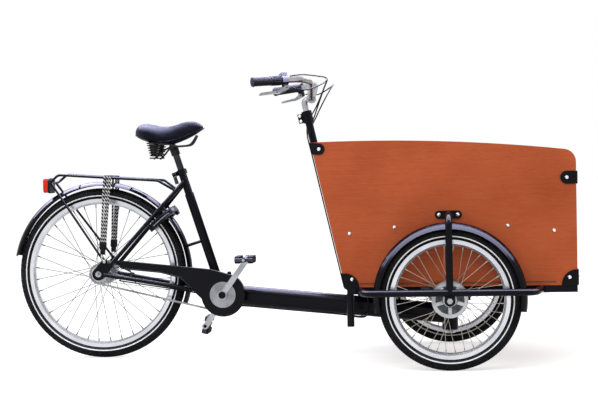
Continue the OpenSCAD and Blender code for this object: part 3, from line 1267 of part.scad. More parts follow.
module front_axles() color("#9da1a6") pair() on_axis(right_wheel_at) {
    bore = front_axle_d + 2 * seat_gap;
    start = axle_in - axle_plate_t - front_nut_t - 2;
    stud(front_axle_d, start, axle_out + axle_plate_t + front_nut_t + 2 - start);
    translate([0, 0, axle_in - axle_plate_t - seat_gap - lap - front_nut_t]) hex_nut(bore, front_axle_d * 1.5, front_nut_t);
    translate([0, 0, axle_out + axle_plate_t + seat_gap]) hex_nut(bore, front_axle_d * 1.5, front_nut_t);
    ring(front_axle_d * 0.8, bore / 2, hub_end + rest_gap, axle_out - seat_gap);
}
module front_brakes() color("#3a3c40") pair() on_axis(right_wheel_at) {
    bore = front_axle_d / 2 + seat_gap;
    ring(drum_r - 1, bore, brake_in - brake_plate_t, brake_in, 2 * round_fn);
    ring(front_axle_d * 0.8, bore, axle_in + seat_gap, brake_in);
    shoes(drum_r - drum_wall, brake_in - 1, -drum_floor - rest_gap);
    translate([0, 0, brake_in - brake_plate_t - 3]) linear_extrude(4) polygon(bar_outline([-25, 25], 9, [-95, 35], 6));
}

// Handlebar post behind the rear panel, stem and handlebar

post_gap = 1.5;
post_dir = [rear_up[0], 0, rear_up[1]];
post_out = [rear_out[0], 0, rear_out[1]];
function post_at(z) = [rear_edge(z), 0, z] + post_out * (post_d / 2 + post_gap)
    + post_dir * (post_d / 2 + post_gap) * rear_out[1] / -rear_up[1];
post_low_end = rail_z + 4;
post_clamps = [box_z + 110, box_z + 430];
post_bolts = [-34, -14];
collar_r = post_d / 2 + 5;
collar_ear = 36;
quill_l = 80;
module handlebar_post() color("#17181b") difference() {
    union() {
        rod(post_at(post_low_end), post_at(post_z), post_d);
        for (z = post_clamps) place(post_at(z), post_out, post_dir) translate([-post_d / 2 - post_gap + seat_gap, -28, -13])
            cube([post_d / 2 + post_gap - seat_gap, 56, 26]);
        place(post_at(post_z), post_out, post_dir) {
            disc(collar_r, -45, 44);
            translate([0, -8, -42]) cube([collar_ear, 16, 36]);
        }
        translate([post_at(rail_z + 14)[0], -15, rail_z + 5])
            cube([box_rear_x + 6 - seat_gap - post_at(rail_z + 14)[0], 30, rail_w - 8]);
    }
    rod(post_at(post_z - quill_l - 10), post_at(post_z + 10), stem_d + 2 * seat_gap);
    place(post_at(post_z), post_out, post_dir) translate([0, -1, -46]) cube([40, 2, 50]);
}
stem_knee = post_at(post_z + 40);
bar_at = stem_knee + [29, 0, 5];
stem_clamp_d = 34;
stem_clamp_w = 30;
module stem() color("#aeb1b5") difference() {
    union() {
        bent_tube([post_at(post_z - quill_l), stem_knee, bar_at], stem_d, 14);
        rod(bar_at - [0, stem_clamp_w / 2, 0], bar_at + [0, stem_clamp_w / 2, 0], stem_clamp_d);
    }
    rod(bar_at - [0, stem_clamp_w, 0], bar_at + [0, stem_clamp_w, 0], bar_d + 2 * seat_gap);
}
bar_end = bar_at + [-175, 312, 49];
bar_knee = bar_at + [-20, 205, 61];
half_bar = [bar_at + [0, 30, 0], bar_at + [8, 110, 58], bar_knee, bar_end];
module handlebar() color("#b9bcc0") bent_tube(concat(mirrored(half_bar), half_bar), bar_d, 38);

// Grips and controls. Along a grip, z counts inwards from the bar's end and x points at the lever.

grip_in = unit(bar_knee - bar_end);
lever_aim = [0.45, 0, -0.9];
grip_down = unit(lever_aim - grip_in * (lever_aim * grip_in));
module on_left_grip() place(bar_end, grip_down, grip_in) children();
module on_right_grip() mirror([0, 1, 0]) on_left_grip() children();
grip_cap = 4;
module grip(l) difference() {
    stud(grip_d, -grip_cap, l + grip_cap);
    stud(bar_d + 2 * seat_gap, -seat_gap, l + cut);
}
module grips() color("#1d1d1e") {
    on_left_grip() grip(grip_l);
    on_right_grip() grip(right_grip_l);
}
twist_gap = 0.6;
twist_z = right_grip_l + twist_gap;
housing_z = twist_z + twist_l + twist_gap;
left_mount_z = grip_l + rest_gap;
mount_l = 24;
mount_d = 34;
lever_pivot_x = 30;
lever_pin_d = 6;
bracket_half = 7;
ribs = 18;
module gear_twist() color("#242526") on_right_grip() {
    ring(grip_d / 2 + 0.5, bar_d / 2 + run_gap, twist_z, twist_z + twist_l);
    for (k = [0 : ribs - 1]) rotate([0, 0, 360 * k / ribs])
        translate([grip_d / 2, 0, twist_z + 4]) cylinder(d = 3.2, h = twist_l - 8, $fn = 16);
}
module lever_mount(z) {
    difference() {
        union() {
            stud(mount_d, z, mount_l);
            translate([0, -bracket_half, z + 2]) cube([lever_pivot_x + 5, 2 * bracket_half, mount_l - 4]);
        }
        stud(bar_d + 2 * seat_gap, z - cut, mount_l + 2 * cut);
    }
    translate([lever_pivot_x, bracket_half + 4, z + mount_l / 2]) rotate([90, 0, 0])
        cylinder(d = lever_pin_d, h = 2 * bracket_half + 8);
}
module control_mounts() color("#3d3f43") {
    on_left_grip() lever_mount(left_mount_z);
    on_right_grip() {
        lever_mount(housing_z);
        difference() {
            translate([-26, -12, housing_z + 1]) cube([20, 24, mount_l - 2]);
            stud(mount_d - 1, housing_z - cut, mount_l + 2 * cut);
        }
    }
}
cheek_t = 3;
blade_w = 13;
blade_reach = 104;
blade_drop = 17;
module lever(z) {
    pivot = [lever_pivot_x, z + mount_l / 2];
    knee = pivot + [12, -28];
    tip = pivot + [blade_drop, -blade_reach];
    difference() {
        union() {
            for (s = [-1, 1]) translate([0, s * (bracket_half + rest_gap + cheek_t / 2) + cheek_t / 2, 0])
                rotate([90, 0, 0]) linear_extrude(cheek_t) polygon(bar_outline(pivot, 8, knee, 5));
            translate([0, bracket_half + rest_gap + cheek_t, 0]) rotate([90, 0, 0])
                linear_extrude(2 * (bracket_half + rest_gap + cheek_t)) polygon(bar_outline(knee, 5, knee + [1, -8], 5));
            translate([0, blade_w / 2, 0]) rotate([90, 0, 0]) linear_extrude(blade_w) polygon(bar_outline(knee, 4.5, tip, 4));
        }
        translate([lever_pivot_x, 0, pivot[1]]) rotate([90, 0, 0])
            cylinder(d = lever_pin_d + 2 * run_gap, h = 60, center = true);
    }
}
module left_lever() color("#b3b6ba") on_left_grip() lever(left_mount_z);
module right_lever() color("#b3b6ba") on_right_grip() lever(housing_z);

// Cables. Each route is measured from the handlebar, the post, the box's lower rear edge, the cranks or an axle.

box_low = [box_rear_x, 0, box_z];
left_wheel_at = flip(right_wheel_at);
post_run = [464, 262, 64, -8];
function measured(from, points) = [for (p = points) from + p];
function beside_post(back, y) = [for (up = post_run) post_at(box_z + up) + [-back, y, 0]];
left_brake_route = concat(
    measured(bar_at, [[-45, 232, 31], [7, 200, 27], [62, 130, 49], [77, 70, 55], [55, 36, 12], [19, 30, -58]]),
    [post_at(post_z - 78) + [-2, 18, 0]], beside_post(8.4, 15.5),
    measured(box_low, [[-18.7, 15.5, -28], [3.3, 14, -39], [35.3, 14, -40]])
);
right_brake_route = concat(
    measured(bar_at, [[-49, -234, 31], [3, -204, 23], [55, -136, 47], [69, -76, 67], [49, -38, 27], [17, -30, -58]]),
    [post_at(post_z - 78) + [-2, -18, 0]], beside_post(8.4, -15.5),
    measured(box_low, [[-18.7, -15.5, -28], [3.3, -14, -39], [59.3, -12, -40]])
);
gear_route = concat(
    measured(bar_at, [[-53, -222, 73], [-11, -190, 79], [37, -120, 77], [63, -50, 71], [47, -8, 33], [15, 34, -28],
        [-15, 30, -83]]),
    [post_at(post_z - 88) + [-18.4, 6, 0]], beside_post(18.4, 0),
    measured(box_low, [[-24.7, 0, -32], [1.3, 0, -40], [35.3, 0, -40]])
);
front_brake_route = concat(
    measured(box_low, [[89.3, 8, -40], [179.3, 120, -40]]),
    measured(left_wheel_at, [[-127.7, -120, 1.5], [-105.7, -60, 7.5], [-96.7, -50, 19.5], [-94.7, -50, 27.5]])
);
splitter_at = box_low + [59.6, -18, -46];
module control_cables() color("#141415") {
    cable(left_brake_route);
    cable(right_brake_route);
    cable(gear_route);
    pair() cable(front_brake_route);
    translate(splitter_at) cube([29.4, 36, 12]);
}
rear_brake_route = concat(
    measured(box_low, [[36.5, 14, -40], [46.3, 15, -42], [56.3, 24, -51], [63.3, 38, -68], [65.3, 46, -88],
        [57.3, 36, -130], [29.3, 16, -140.5]]),
    measured([crank_x, 0, crank_h], [[439.3, 8, -86], [239.3, 8, -66.4], [89.3, 8, -51.7], [14.3, 14, -46],
        [-40.7, 26, -24], [-80.7, 34, -4], [-140.7, 44, 12]]),
    measured(rear_axle_at, [[217.3, 55, -49.5], [129.3, 61.4, -33.5]])
);
shift_route = concat(
    measured(box_low, [[36.5, 0, -40], [46.3, -1, -43], [56.3, -9, -56], [63.3, -30, -72]]),
    [for (i = [4 : len(rear_brake_route) - 2]) flip(rear_brake_route[i])], [rear_axle_at + [77.3, -65, -25.5]]
);
module frame_cables() color("#141415") {
    cable(rear_brake_route);
    cable(shift_route);
}

main_beam();
seat_tube();
seat_stays();
chain_stays();
bearings();
chain_case();
chain();
rear_mudguard();
rear_rack();
tail_lamp();
carrier_straps();
ring_lock();
lock_shackle();
seat_clamp();
clamp_lever();
frame_cables();
rear_axle();
rear_brake();
rear_tyre();
rear_rim();
rear_hub();
rear_sprocket();
crank_spindle();
chainring();
right_crank();
left_crank();
crank_cover();
right_pedal();
left_pedal();
seat_post();
saddle();
saddle_springs();
chassis_frame();
kingpin();
box_sides();
box_front();
box_rear();
box_floor();
benches();
corner_brackets();
box_bolts();
wheel_guards();
front_mudguards();
front_axles();
front_brakes();
handlebar_post();
stem();
handlebar();
grips();
control_mounts();
control_cables();
right_lever();
left_lever();
gear_twist();
right_tyre();
right_rim();
right_hub();
left_tyre();
left_rim();
left_hub();
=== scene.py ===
import json
from math import asin, atan2, copysign, cos, degrees, dist, exp, hypot, pi, radians, sin, sqrt

import bmesh
import bpy
from mathutils import Matrix, Vector

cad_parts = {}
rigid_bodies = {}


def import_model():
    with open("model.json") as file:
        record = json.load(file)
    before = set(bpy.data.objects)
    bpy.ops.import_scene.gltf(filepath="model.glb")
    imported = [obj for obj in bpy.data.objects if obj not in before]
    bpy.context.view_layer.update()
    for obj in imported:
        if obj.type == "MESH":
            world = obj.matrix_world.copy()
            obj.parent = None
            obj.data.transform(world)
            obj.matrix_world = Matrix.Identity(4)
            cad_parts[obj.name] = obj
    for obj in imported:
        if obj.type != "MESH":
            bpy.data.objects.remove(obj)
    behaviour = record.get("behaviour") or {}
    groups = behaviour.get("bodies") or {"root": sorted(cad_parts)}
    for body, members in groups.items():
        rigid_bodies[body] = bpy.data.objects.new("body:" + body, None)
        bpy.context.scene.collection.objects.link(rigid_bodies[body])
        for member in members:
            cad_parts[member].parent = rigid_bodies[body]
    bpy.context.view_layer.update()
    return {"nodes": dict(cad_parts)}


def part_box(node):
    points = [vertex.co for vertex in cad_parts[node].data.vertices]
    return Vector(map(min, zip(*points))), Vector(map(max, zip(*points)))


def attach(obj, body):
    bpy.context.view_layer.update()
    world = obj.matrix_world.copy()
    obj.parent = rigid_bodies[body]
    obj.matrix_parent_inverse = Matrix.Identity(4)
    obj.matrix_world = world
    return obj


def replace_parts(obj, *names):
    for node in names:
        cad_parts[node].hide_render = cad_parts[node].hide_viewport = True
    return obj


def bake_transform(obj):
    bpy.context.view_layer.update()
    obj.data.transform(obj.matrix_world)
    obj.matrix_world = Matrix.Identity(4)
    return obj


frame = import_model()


# Camera: hip height, a little ahead of the middle, on the rider's right, with a short telephoto lens.
# The eye point and angles are those of the photograph, whose frame is 598 pixels wide.
def put(name, data):
    """A new object at the origin of the scene."""
    made = bpy.data.objects.new(name, data)
    scene.collection.objects.link(made)
    return made


image_w, focal_px, sensor_w = 598, 1303.6, 36
eye = Vector((0.5983, -4.8999, 0.7198))
yaw, pitch, roll = radians(6.415), radians(1.871), radians(-1.257)
ahead = Vector((-sin(yaw) * cos(pitch), cos(yaw) * cos(pitch), -sin(pitch)))
level = Vector((cos(yaw), sin(yaw), 0))
upward = level.cross(ahead)
across = cos(roll) * level + sin(roll) * upward
rising = cos(roll) * upward - sin(roll) * level
scene = bpy.context.scene
camera = put("camera", bpy.data.cameras.new("camera"))
scene.camera = camera
camera.data.sensor_fit = "HORIZONTAL"
camera.data.sensor_width = sensor_w
camera.data.lens = focal_px / image_w * sensor_w
camera.matrix_world = Matrix.Translation(eye) @ Matrix((across, rising, -ahead)).transposed().to_4x4()
scene.view_settings.view_transform = "Standard"


# Studio: a white room with one large soft lamp above the camera side and a weak lamp behind. A bluish panel
# overhead only draws the highlights along the tops of tubes and guards, and adds no light of its own.
# The floor is a pale matt sheet that the camera sees as white and that keeps the shadow under the wheels.
def linear(colour):
    """Turns an sRGB hex colour into the linear RGBA that a shader socket takes."""
    channels = [int(colour[i:i + 2], 16) / 255 for i in (1, 3, 5)]
    return tuple(c / 12.92 if c <= 0.04045 else ((c + 0.055) / 1.055) ** 2.4 for c in channels) + (1.0,)


def in_use(node):
    """The first output that a node's settings leave in use."""
    return next(socket for socket in node.outputs if socket.enabled)


def add(owner, kind, inputs=None, into=None, **settings):
    """Adds a node. An input is a value, an output or another node, and into is a socket that it feeds."""
    node = owner.node_tree.nodes.new("ShaderNode" + kind)
    for name, value in settings.items():
        setattr(node, name, value)
    for name, value in (inputs or {}).items():
        if isinstance(value, bpy.types.Node):
            value = in_use(value)
        if isinstance(value, bpy.types.NodeSocket):
            owner.node_tree.links.new(value, node.inputs[name])
        else:
            node.inputs[name].default_value = value
    if into:
        owner.node_tree.links.new(in_use(node), into)
    return node


def seen_directly(owner):
    """Gives 1 for what the camera, metal and glass see, and 0 for the light that falls on the object."""
    rays = add(owner, "LightPath").outputs
    seen = add(owner, "Math", {0: rays["Is Camera Ray"], 1: rays["Is Glossy Ray"]}, operation="MAXIMUM")
    return add(owner, "Math", {0: seen, 1: rays["Is Transmission Ray"]}, operation="MAXIMUM")


def shaded(name, constants):
    """A new material with constants on its shader. Returns it and the shader's sockets."""
    made = bpy.data.materials.new(name)
    made.use_nodes = True
    sockets = made.node_tree.nodes["Principled BSDF"].inputs
    for socket, value in constants.items():
        sockets[socket].default_value = value
    return made, sockets


room_light, floor_glow, floor_half = 0.55, 0.6, 40
panel_spread = radians(146)
world = bpy.data.worlds.new("white_room")
scene.world = world
world.use_nodes = True
world.node_tree.nodes.clear()
strength = add(world, "MapRange", {0: seen_directly(world), 3: room_light, 4: 1.0})
glow = add(world, "Background", {"Color": linear("#ffffff"), "Strength": strength})
add(world, "OutputWorld", {"Surface": glow})
for lamp_name, lamp_at, lamp_aim, lamp_size, lamp_power, lamp_tint, lights_matt in (
        ("key_lamp", (-1.2, -3.4, 4.2), (0.1, 0, 0.4), (4.0, 4.0), 140, "#ffffff", True),
        ("panel_lamp", (-0.1, 0.7, 3.2), (-0.1, 0.7, 0.4), (13.0, 5.2), 6600, "#d2d1fb", False),
        ("back_lamp", (1.5, 3.6, 3.6), (0, 0, 0.4), (3.0, 3.0), 45, "#ffffff", True)):
    lamp = put(lamp_name, bpy.data.lights.new(lamp_name, "AREA"))
    lamp.data.shape = "RECTANGLE"
    lamp.data.size, lamp.data.size_y = lamp_size
    lamp.data.energy = lamp_power
    lamp.data.color = linear(lamp_tint)[:3]
    lamp.location = lamp_at
    lamp.rotation_euler = (Vector(lamp_aim) - Vector(lamp_at)).to_track_quat("-Z", "Y").to_euler()
    lamp.visible_diffuse = lights_matt
    lamp.data.spread = pi if lights_matt else panel_spread
# Matt paper: a flat pale grey that the camera sees lit up to white
floor_paper, paper = shaded("matt_white_paper", {
    "Base Color": linear("#ececec"), "Roughness": 0.9, "Specular IOR Level": 0.0,
    "Emission Color": linear("#ffffff")})
add(floor_paper, "Math", {0: seen_directly(floor_paper), 1: floor_glow}, into=paper["Emission Strength"],
    operation="MULTIPLY")
bm = bmesh.new()
bmesh.ops.create_grid(bm, x_segments=1, y_segments=1, size=floor_half)
floor_mesh = bpy.data.meshes.new("floor")
bm.to_mesh(floor_mesh)
bm.free()
floor_mesh.materials.append(floor_paper)
studio_floor = put("studio_floor", floor_mesh)


# Control cables: steel inner wires in black plastic outers of 5 mm. Two brake cables and one gear cable
# loop forward from the levers, come down the post and go under the box to a small junction block.
def finish(name, colours, constants, blotch, grain, rough, relief):
    """A material whose colour drifts over blotches, with a grain in its roughness and relief. Sizes are in
    metres, and a grain that is finer than about 1 mm is drawn that coarse so that it shows."""
    made, sockets = shaded(name, constants)
    place = add(made, "TexCoord").outputs["Object"]
    drift = add(made, "TexNoise", {"Vector": place, "Scale": 1 / blotch, "Detail": 3.0, "Roughness": 0.6})
    share = add(made, "MapRange", {0: drift, 1: 0.35, 2: 0.65})
    add(made, "Mix", {0: share, 6: linear(colours[0]), 7: linear(colours[1])}, into=sockets["Base Color"],
        data_type="RGBA")
    fine = add(made, "TexNoise", {"Vector": place, "Scale": 1 / grain, "Detail": 2.0})
    add(made, "MapRange", {0: fine, 1: 0.3, 2: 0.7, 3: rough[0], 4: rough[1]}, into=sockets["Roughness"])
    add(made, "Bump", {"Height": fine, "Strength": 1.0, "Distance": relief}, into=sockets["Normal"])
    return made


def smooth_route(points, steps):
    """Points in metres along a smooth curve through the chosen ones, which are in millimetres."""
    p = [Vector(point) / 1000 for point in points]
    route = []
    for i in range(len(p) - 1):
        a, b, c, d = p[max(i - 1, 0)], p[i], p[i + 1], p[min(i + 2, len(p) - 1)]
        for k in range(steps):
            t = k / steps
            route.append(0.5 * (2 * b + (c - a) * t + (2 * a - 5 * b + 4 * c - d) * t ** 2
                                + (3 * b - a - 3 * c + d) * t ** 3))
    return route + [p[-1]]


def wire(name, route, diameter, body, material):
    """A round wire or cable along a route, as a curve that rides on a body."""
    line = bpy.data.curves.new(name, "CURVE")
    line.dimensions = "3D"
    line.bevel_depth = diameter / 2
    line.bevel_resolution = 4
    line.use_fill_caps = True
    spline = line.splines.new("POLY")
    spline.points.add(len(route) - 1)
    for point, at in zip(spline.points, route):
        point.co = (*at, 1)
    spline.use_smooth = True
    line.materials.append(material)
    made = put(name, line)
    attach(made, body)
    return made


# Extruded PVC: deep black, a soft sheen, with a slight grease bloom
cable_pvc = finish(
    "extruded_black_pvc", ("#09090b", "#121316"), {"IOR": 1.53, "Specular IOR Level": 0.06}, blotch=0.06,
    grain=0.002, rough=(0.3, 0.45), relief=0.00005)
cable_d, cable_steps = 0.005, 12
down_post = [
    (98, 18, 850), (114, 15.5, 752), (158, 15.5, 550), (202, 15.5, 352), (218, 15.5, 280), (222, 15.5, 260),
    (244, 14, 249)]
left_brake_route = [
    (58, 232, 1004), (110, 200, 1000), (165, 130, 1022), (180, 70, 1028), (158, 36, 985), (122, 30, 915),
    *down_post, (276, 14, 248)]
right_brake_route = [
    (54, -234, 1004), (106, -204, 996), (158, -136, 1020), (172, -76, 1040), (152, -38, 1000),
    (120, -30, 915), *((x, -y, z) for x, y, z in down_post), (300, -12, 248)]
gear_route = [
    (50, -222, 1046), (92, -190, 1052), (140, -120, 1050), (166, -50, 1044), (150, -8, 1006),
    (118, 34, 945), (88, 30, 890), (84, 6, 840), (103.5, 0, 752), (148, 0, 550), (192, 0, 352),
    (208, 0, 280), (216, 0, 256), (242, 0, 248), (276, 0, 248)]
lever_cables = []
for cable_name, chosen, cable_l in (("left_brake_cable", left_brake_route, 1.09),
                                    ("right_brake_cable", right_brake_route, 1.12),
                                    ("gear_cable", gear_route, 1.14)):
    route = smooth_route(chosen, cable_steps)
    cable = wire(cable_name, route, cable_d, "front_carriage", cable_pvc)
    lever_cables.append(cable)
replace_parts(lever_cables[0], "control_cables")
sides = (("left", 1), ("right", -1))
front_brake_route = [
    (330, 8, 248), (420, 120, 248), (480, 250, 250), (502, 310, 256), (511, 320, 268), (513, 320, 276)]
for side_name, side in sides:
    route = smooth_route([(x, side * y, z) for x, y, z in front_brake_route], cable_steps)
    wire(side_name + "_drum_cable", route, cable_d, "front_carriage", cable_pvc)


# Cable junction: a small moulded block under the box, in which the cables from the bar meet those of the
# wheels. It is clipped to the chassis.
def piece(name, bm, body, materials, sharp_deg=35):
    """Makes an object of a finished mesh and lets it ride on a body."""
    bmesh.ops.recalc_face_normals(bm, faces=bm.faces)
    mesh = bpy.data.meshes.new(name)
    bm.to_mesh(mesh)
    bm.free()
    for material in materials:
        mesh.materials.append(material)
    mesh.shade_smooth()
    mesh.set_sharp_from_angle(angle=radians(sharp_deg))
    made = put(name, mesh)
    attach(made, body)
    return made


def soften(bm, edges, rounding, segments=2):
    """Rounds off edges."""
    bmesh.ops.bevel(bm, geom=edges, offset=rounding, segments=segments, profile=0.5, affect="EDGES",
                    material=-1)


def block(bm, size, matrix, rounding, segments=2):
    """Adds a box with rounded edges, placed and turned by the matrix."""
    made = bmesh.ops.create_cube(bm, size=1.0, matrix=matrix @ Matrix.Diagonal((*size, 1)))["verts"]
    soften(bm, list(dict.fromkeys(e for v in made for e in v.link_edges)), rounding, segments)


# Moulded ABS of the small housings: near black, fine spark-eroded grain
abs_look = {"colours": ("#0b0b0e", "#151619"), "constants": {"IOR": 1.54, "Specular IOR Level": 0.06},
            "blotch": 0.04, "grain": 0.0012, "rough": (0.38, 0.55), "relief": 0.00008}
moulded_abs = finish("moulded_black_abs", **abs_look)
junction_size, junction_at, junction_round = (0.0292, 0.0358, 0.0118), (0.315, 0, 0.248), 0.0025
bm = bmesh.new()
block(bm, junction_size, Matrix.Translation(junction_at), junction_round)
piece("cable_junction", bm, "front_carriage", [moulded_abs])


# Frame cables: the rear brake cable and the gear cable leave the junction in a slack loop that lets the
# carriage steer, then run along the main beam and the chain stays to the rear hub.
def evaluated(made):
    """The object as its curve settings or modifiers shape it."""
    return made.evaluated_get(bpy.context.evaluated_depsgraph_get())


rear_brake_route = [
    (277.2, 14, 248), (287, 15, 246), (297, 24, 237), (304, 38, 220), (306, 46, 200), (298, 36, 158),
    (270, 16, 147.5), (200, 8, 158), (0, 8, 177.6), (-150, 8, 192.3), (-225, 14, 198), (-280, 26, 220),
    (-320, 34, 240), (-380, 44, 256), (-500, 55, 277), (-588, 61.4, 293)]
shift_route = [(277.2, 0, 248), (287, -1, 245), (297, -9, 232), (304, -30, 216)]
shift_route += [(x, -y, z) for x, y, z in rear_brake_route[4:-1]] + [(-640, -65, 301)]
loop_end = 6 * cable_steps
first_run = None
for cable_name, chosen in (("rear_brake", rear_brake_route), ("shift", shift_route)):
    route = smooth_route(chosen, cable_steps)
    run = wire(cable_name + "_run", route[loop_end:], cable_d, "rear_frame", cable_pvc)
    first_run = first_run or run
    slack = wire(cable_name + "_slack", route[:loop_end + 1], cable_d, "front_carriage", cable_pvc)
    shape = bpy.data.meshes.new_from_object(evaluated(slack))
    bpy.data.objects.remove(slack)
    loop = put(cable_name + "_loop", shape)
    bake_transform(loop)
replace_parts(first_run, "frame_cables")


# Welded rear frame: oval main beam with the head tube and bottom bracket shell, seat tube and stays of
# steel, powder coated in one deep black. The same coat is on the chassis, guards and handlebar post.
def dress(material, *nodes):
    """Gives the material to carried-over CAD nodes."""
    for node in nodes:
        for slot in frame["nodes"][node].material_slots:
            slot.material = material


# Powder coat: a thick gloss skin with a faint orange peel, about 2 mm from crest to crest
powder_coat = finish(
    "black_powder_coat", ("#08080c", "#0f1018"),
    {"IOR": 1.52, "Specular IOR Level": 0.05, "Coat Weight": 0.05, "Coat Roughness": 0.08}, blotch=0.25,
    grain=0.0022, rough=(0.16, 0.28), relief=0.00004)
dress(powder_coat, "main_beam", "seat_tube", "seat_stays", "chain_stays", "chassis_frame", "wheel_guards",
      "handlebar_post", "rear_rack", "seat_clamp")

# Mudguards and chain case: pressed and rolled sheet steel on wire stays, dipped in enamel.
# Gloss enamel: as black as the frame's coat, but smoother, with longer highlights
gloss_enamel = finish(
    "black_gloss_enamel", ("#07070b", "#0d0e15"),
    {"IOR": 1.52, "Specular IOR Level": 0.05, "Coat Weight": 0.06, "Coat Roughness": 0.05}, blotch=0.18,
    grain=0.006, rough=(0.1, 0.2), relief=0.00003)
dress(gloss_enamel, "rear_mudguard", "front_mudguards", "chain_case")

# Chain case edge: the pressed sheet is rolled over a wire all round its outer face, so that the rim shines.
# The border is read from the outer face itself: an edge on it belongs to one flat face only.
case_mesh = frame["nodes"]["chain_case"].data
case_face = min(v.co.y for v in case_mesh.vertices)
flat_from, face_slack = 0.99, 0.0003
rolled_d, rolled_proud = 0.005, 0.001
uses = {}
for face in case_mesh.polygons:
    if abs(face.normal.y) > flat_from and abs(face.center.y - case_face) < face_slack:
        for key in face.edge_keys:
            uses[key] = uses.get(key, 0) + 1
beside = {}
for a, b in (key for key, count in uses.items() if count == 1):
    beside.setdefault(a, []).append(b)
    beside.setdefault(b, []).append(a)
borders = []
while beside:
    border = [next(iter(beside))]
    while border[-1] in beside:
        ways = [v for v in beside.pop(border[-1]) if v in beside or v == border[0]]
        border.append(next((v for v in ways if v in beside), border[0]))
    borders.append([case_mesh.vertices[v].co.copy() for v in border])
longest = max(borders, key=lambda points: sum((b - a).length for a, b in zip(points, points[1:])))
wire("chain_case_edge", [at + Vector((0, rolled_d / 2 - rolled_proud, 0)) for at in longest], rolled_d,
     "rear_frame", gloss_enamel)

# Steering bushes and bottom bracket cups: turned rings, pressed into the head tube and the shell.
# Turned steel: dark and dull with grease
dress(finish(
    "turned_steel", ("#4a4c50", "#6c6f74"), {"Metallic": 1.0}, blotch=0.03, grain=0.0015, rough=(0.3, 0.5),
    relief=0.00006), "bearings")


# Tyres: black rubber on a casing 44 mm wide, with rows of tread blocks round the crown and shoulders and
# a narrow white reflecting stripe moulded into each side wall.
def middle_of(node):
    """The middle of a CAD node's box."""
    low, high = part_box(node)
    return (low + high) / 2


def revolve(bm, outline, centre, axis, steps, closed=False):
    """Spins a line of points, or a closed one, all the way round an axis."""
    weld = 0.00002
    verts = [bm.verts.new(at) for at in outline]
    edges = [bm.edges.new((verts[i - 1], verts[i])) for i in range(0 if closed else 1, len(verts))]
    bmesh.ops.spin(bm, geom=verts + edges, cent=centre, axis=axis, angle=2 * pi, steps=steps, use_merge=True)
    bmesh.ops.remove_doubles(bm, verts=bm.verts, dist=weld)


def oval(radius, half_w, angles):
    """Points of a tyre's section as radius and width, at angles in degrees from the crown."""
    return [(radius * cos(radians(a)), half_w * sin(radians(a))) for a in angles]


def tyre(wheel, steps):
    """Spins a tyre's section round its axle, then raises the tread and marks the stripe."""
    node = wheel + "_tyre"
    low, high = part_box(node)
    middle = middle_of(node)
    outer, half_w = (high.x - low.x) / 2, (high.y - low.y) / 2
    ring = outer - half_w
    lug, lug_taper = 0.0016, 0.0009
    lining_r, lining_y, inside_r = 0.0175, 0.0185, 0.0188
    bead_r, bead_y, bead_t = outer - 0.046, 0.0118, 0.003
    wall_deg = (0, 8, 16, 27, 38, 50, 62, 74, 88, 100, 104, 116, 120, 132, 145)
    stripe_from, stripe_to = 104, 116
    # Each row of tread blocks has its bounds in degrees, and raises one step in so many, from the given one
    tread_rows = ((-1, 8, 1, 0), (16, 27, 2, 1), (27, 38, 2, 0), (38, 62, 2, 1), (62, 74, 4, 1))
    half = [(ring + r, y) for r, y in oval(half_w - lug, half_w, wall_deg)]
    half += [(bead_r, bead_y), (bead_r, bead_y - bead_t)]
    half += [(ring + r, y) for r, y in oval(lining_r, lining_y, (140, 115, 90, 65, 40, 15))]
    section = half + [(r, -y) for r, y in reversed(half[1:])]
    bm = bmesh.new()
    revolve(bm, [middle + Vector((0, y, r)) for r, y in section], middle, (0, 1, 0), steps, closed=True)
    bmesh.ops.recalc_face_normals(bm, faces=bm.faces)
    tread = []
    for face in bm.faces:
        at = face.calc_center_median() - middle
        radius = hypot(at.x, at.z)
        if hypot(radius - ring, at.y) < inside_r:
            continue
        bank = degrees(atan2(abs(at.y) / half_w, (radius - ring) / (half_w - lug)))
        turn = int((atan2(at.x, at.z) / (2 * pi) + 0.5) * steps + 0.25 * (at.y > 0))
        if stripe_from < bank < stripe_to:
            face.material_index = 1
        elif any(a < bank < b and turn % every == first for a, b, every, first in tread_rows):
            tread.append(face)
    bmesh.ops.inset_individual(bm, faces=tread, thickness=lug_taper, depth=lug, use_even_offset=True)
    made = piece(wheel + "_tread", bm, wheel + "_wheel", [tyre_rubber, stripe_white], 40)
    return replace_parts(made, node)


# Vulcanised rubber: charcoal black, dry, with a dusty bloom; the stripe is a pale reflecting tape
tyre_rubber = finish(
    "vulcanised_tyre_rubber", ("#0d0d0f", "#191a1d"), {"IOR": 1.52, "Specular IOR Level": 0.05},
    blotch=0.09, grain=0.0025, rough=(0.55, 0.75), relief=0.00012)
stripe_white = finish(
    "reflecting_stripe", ("#e9e9e8", "#fafaf8"), {"IOR": 1.5}, blotch=0.05, grain=0.0018, rough=(0.35, 0.5),
    relief=0.00004)
for wheel, steps in (("rear", 200), ("right", 152), ("left", 152)):
    tyre(wheel, steps)

# Rims: hoops rolled from an aluminium profile, which hold the tyres' beads and the spokes' ends.
# Polished aluminium: bright, with a slight silvery haze
dress(finish(
    "polished_rim_aluminium", ("#bfc0c6", "#d3d4da"), {"Metallic": 1.0}, blotch=0.12, grain=0.004,
    rough=(0.2, 0.34), relief=0.00003), "rear_rim", "right_rim", "left_rim")


# Hubs with their spokes: cast and turned aluminium shells, laced to the rims with drawn steel wire of 2 mm.
# Cast aluminium: duller than the rims. Spoke wire: painted highlight on the front wheels, painted shade on
# the rear
def overpaint(made, share, colour):
    """Lays another colour over a material's own where the share is 1."""
    base = made.node_tree.nodes["Principled BSDF"].inputs["Base Color"]
    add(made, "Mix", {0: share, 6: base.links[0].from_socket, 7: linear(colour)}, into=base, data_type="RGBA")


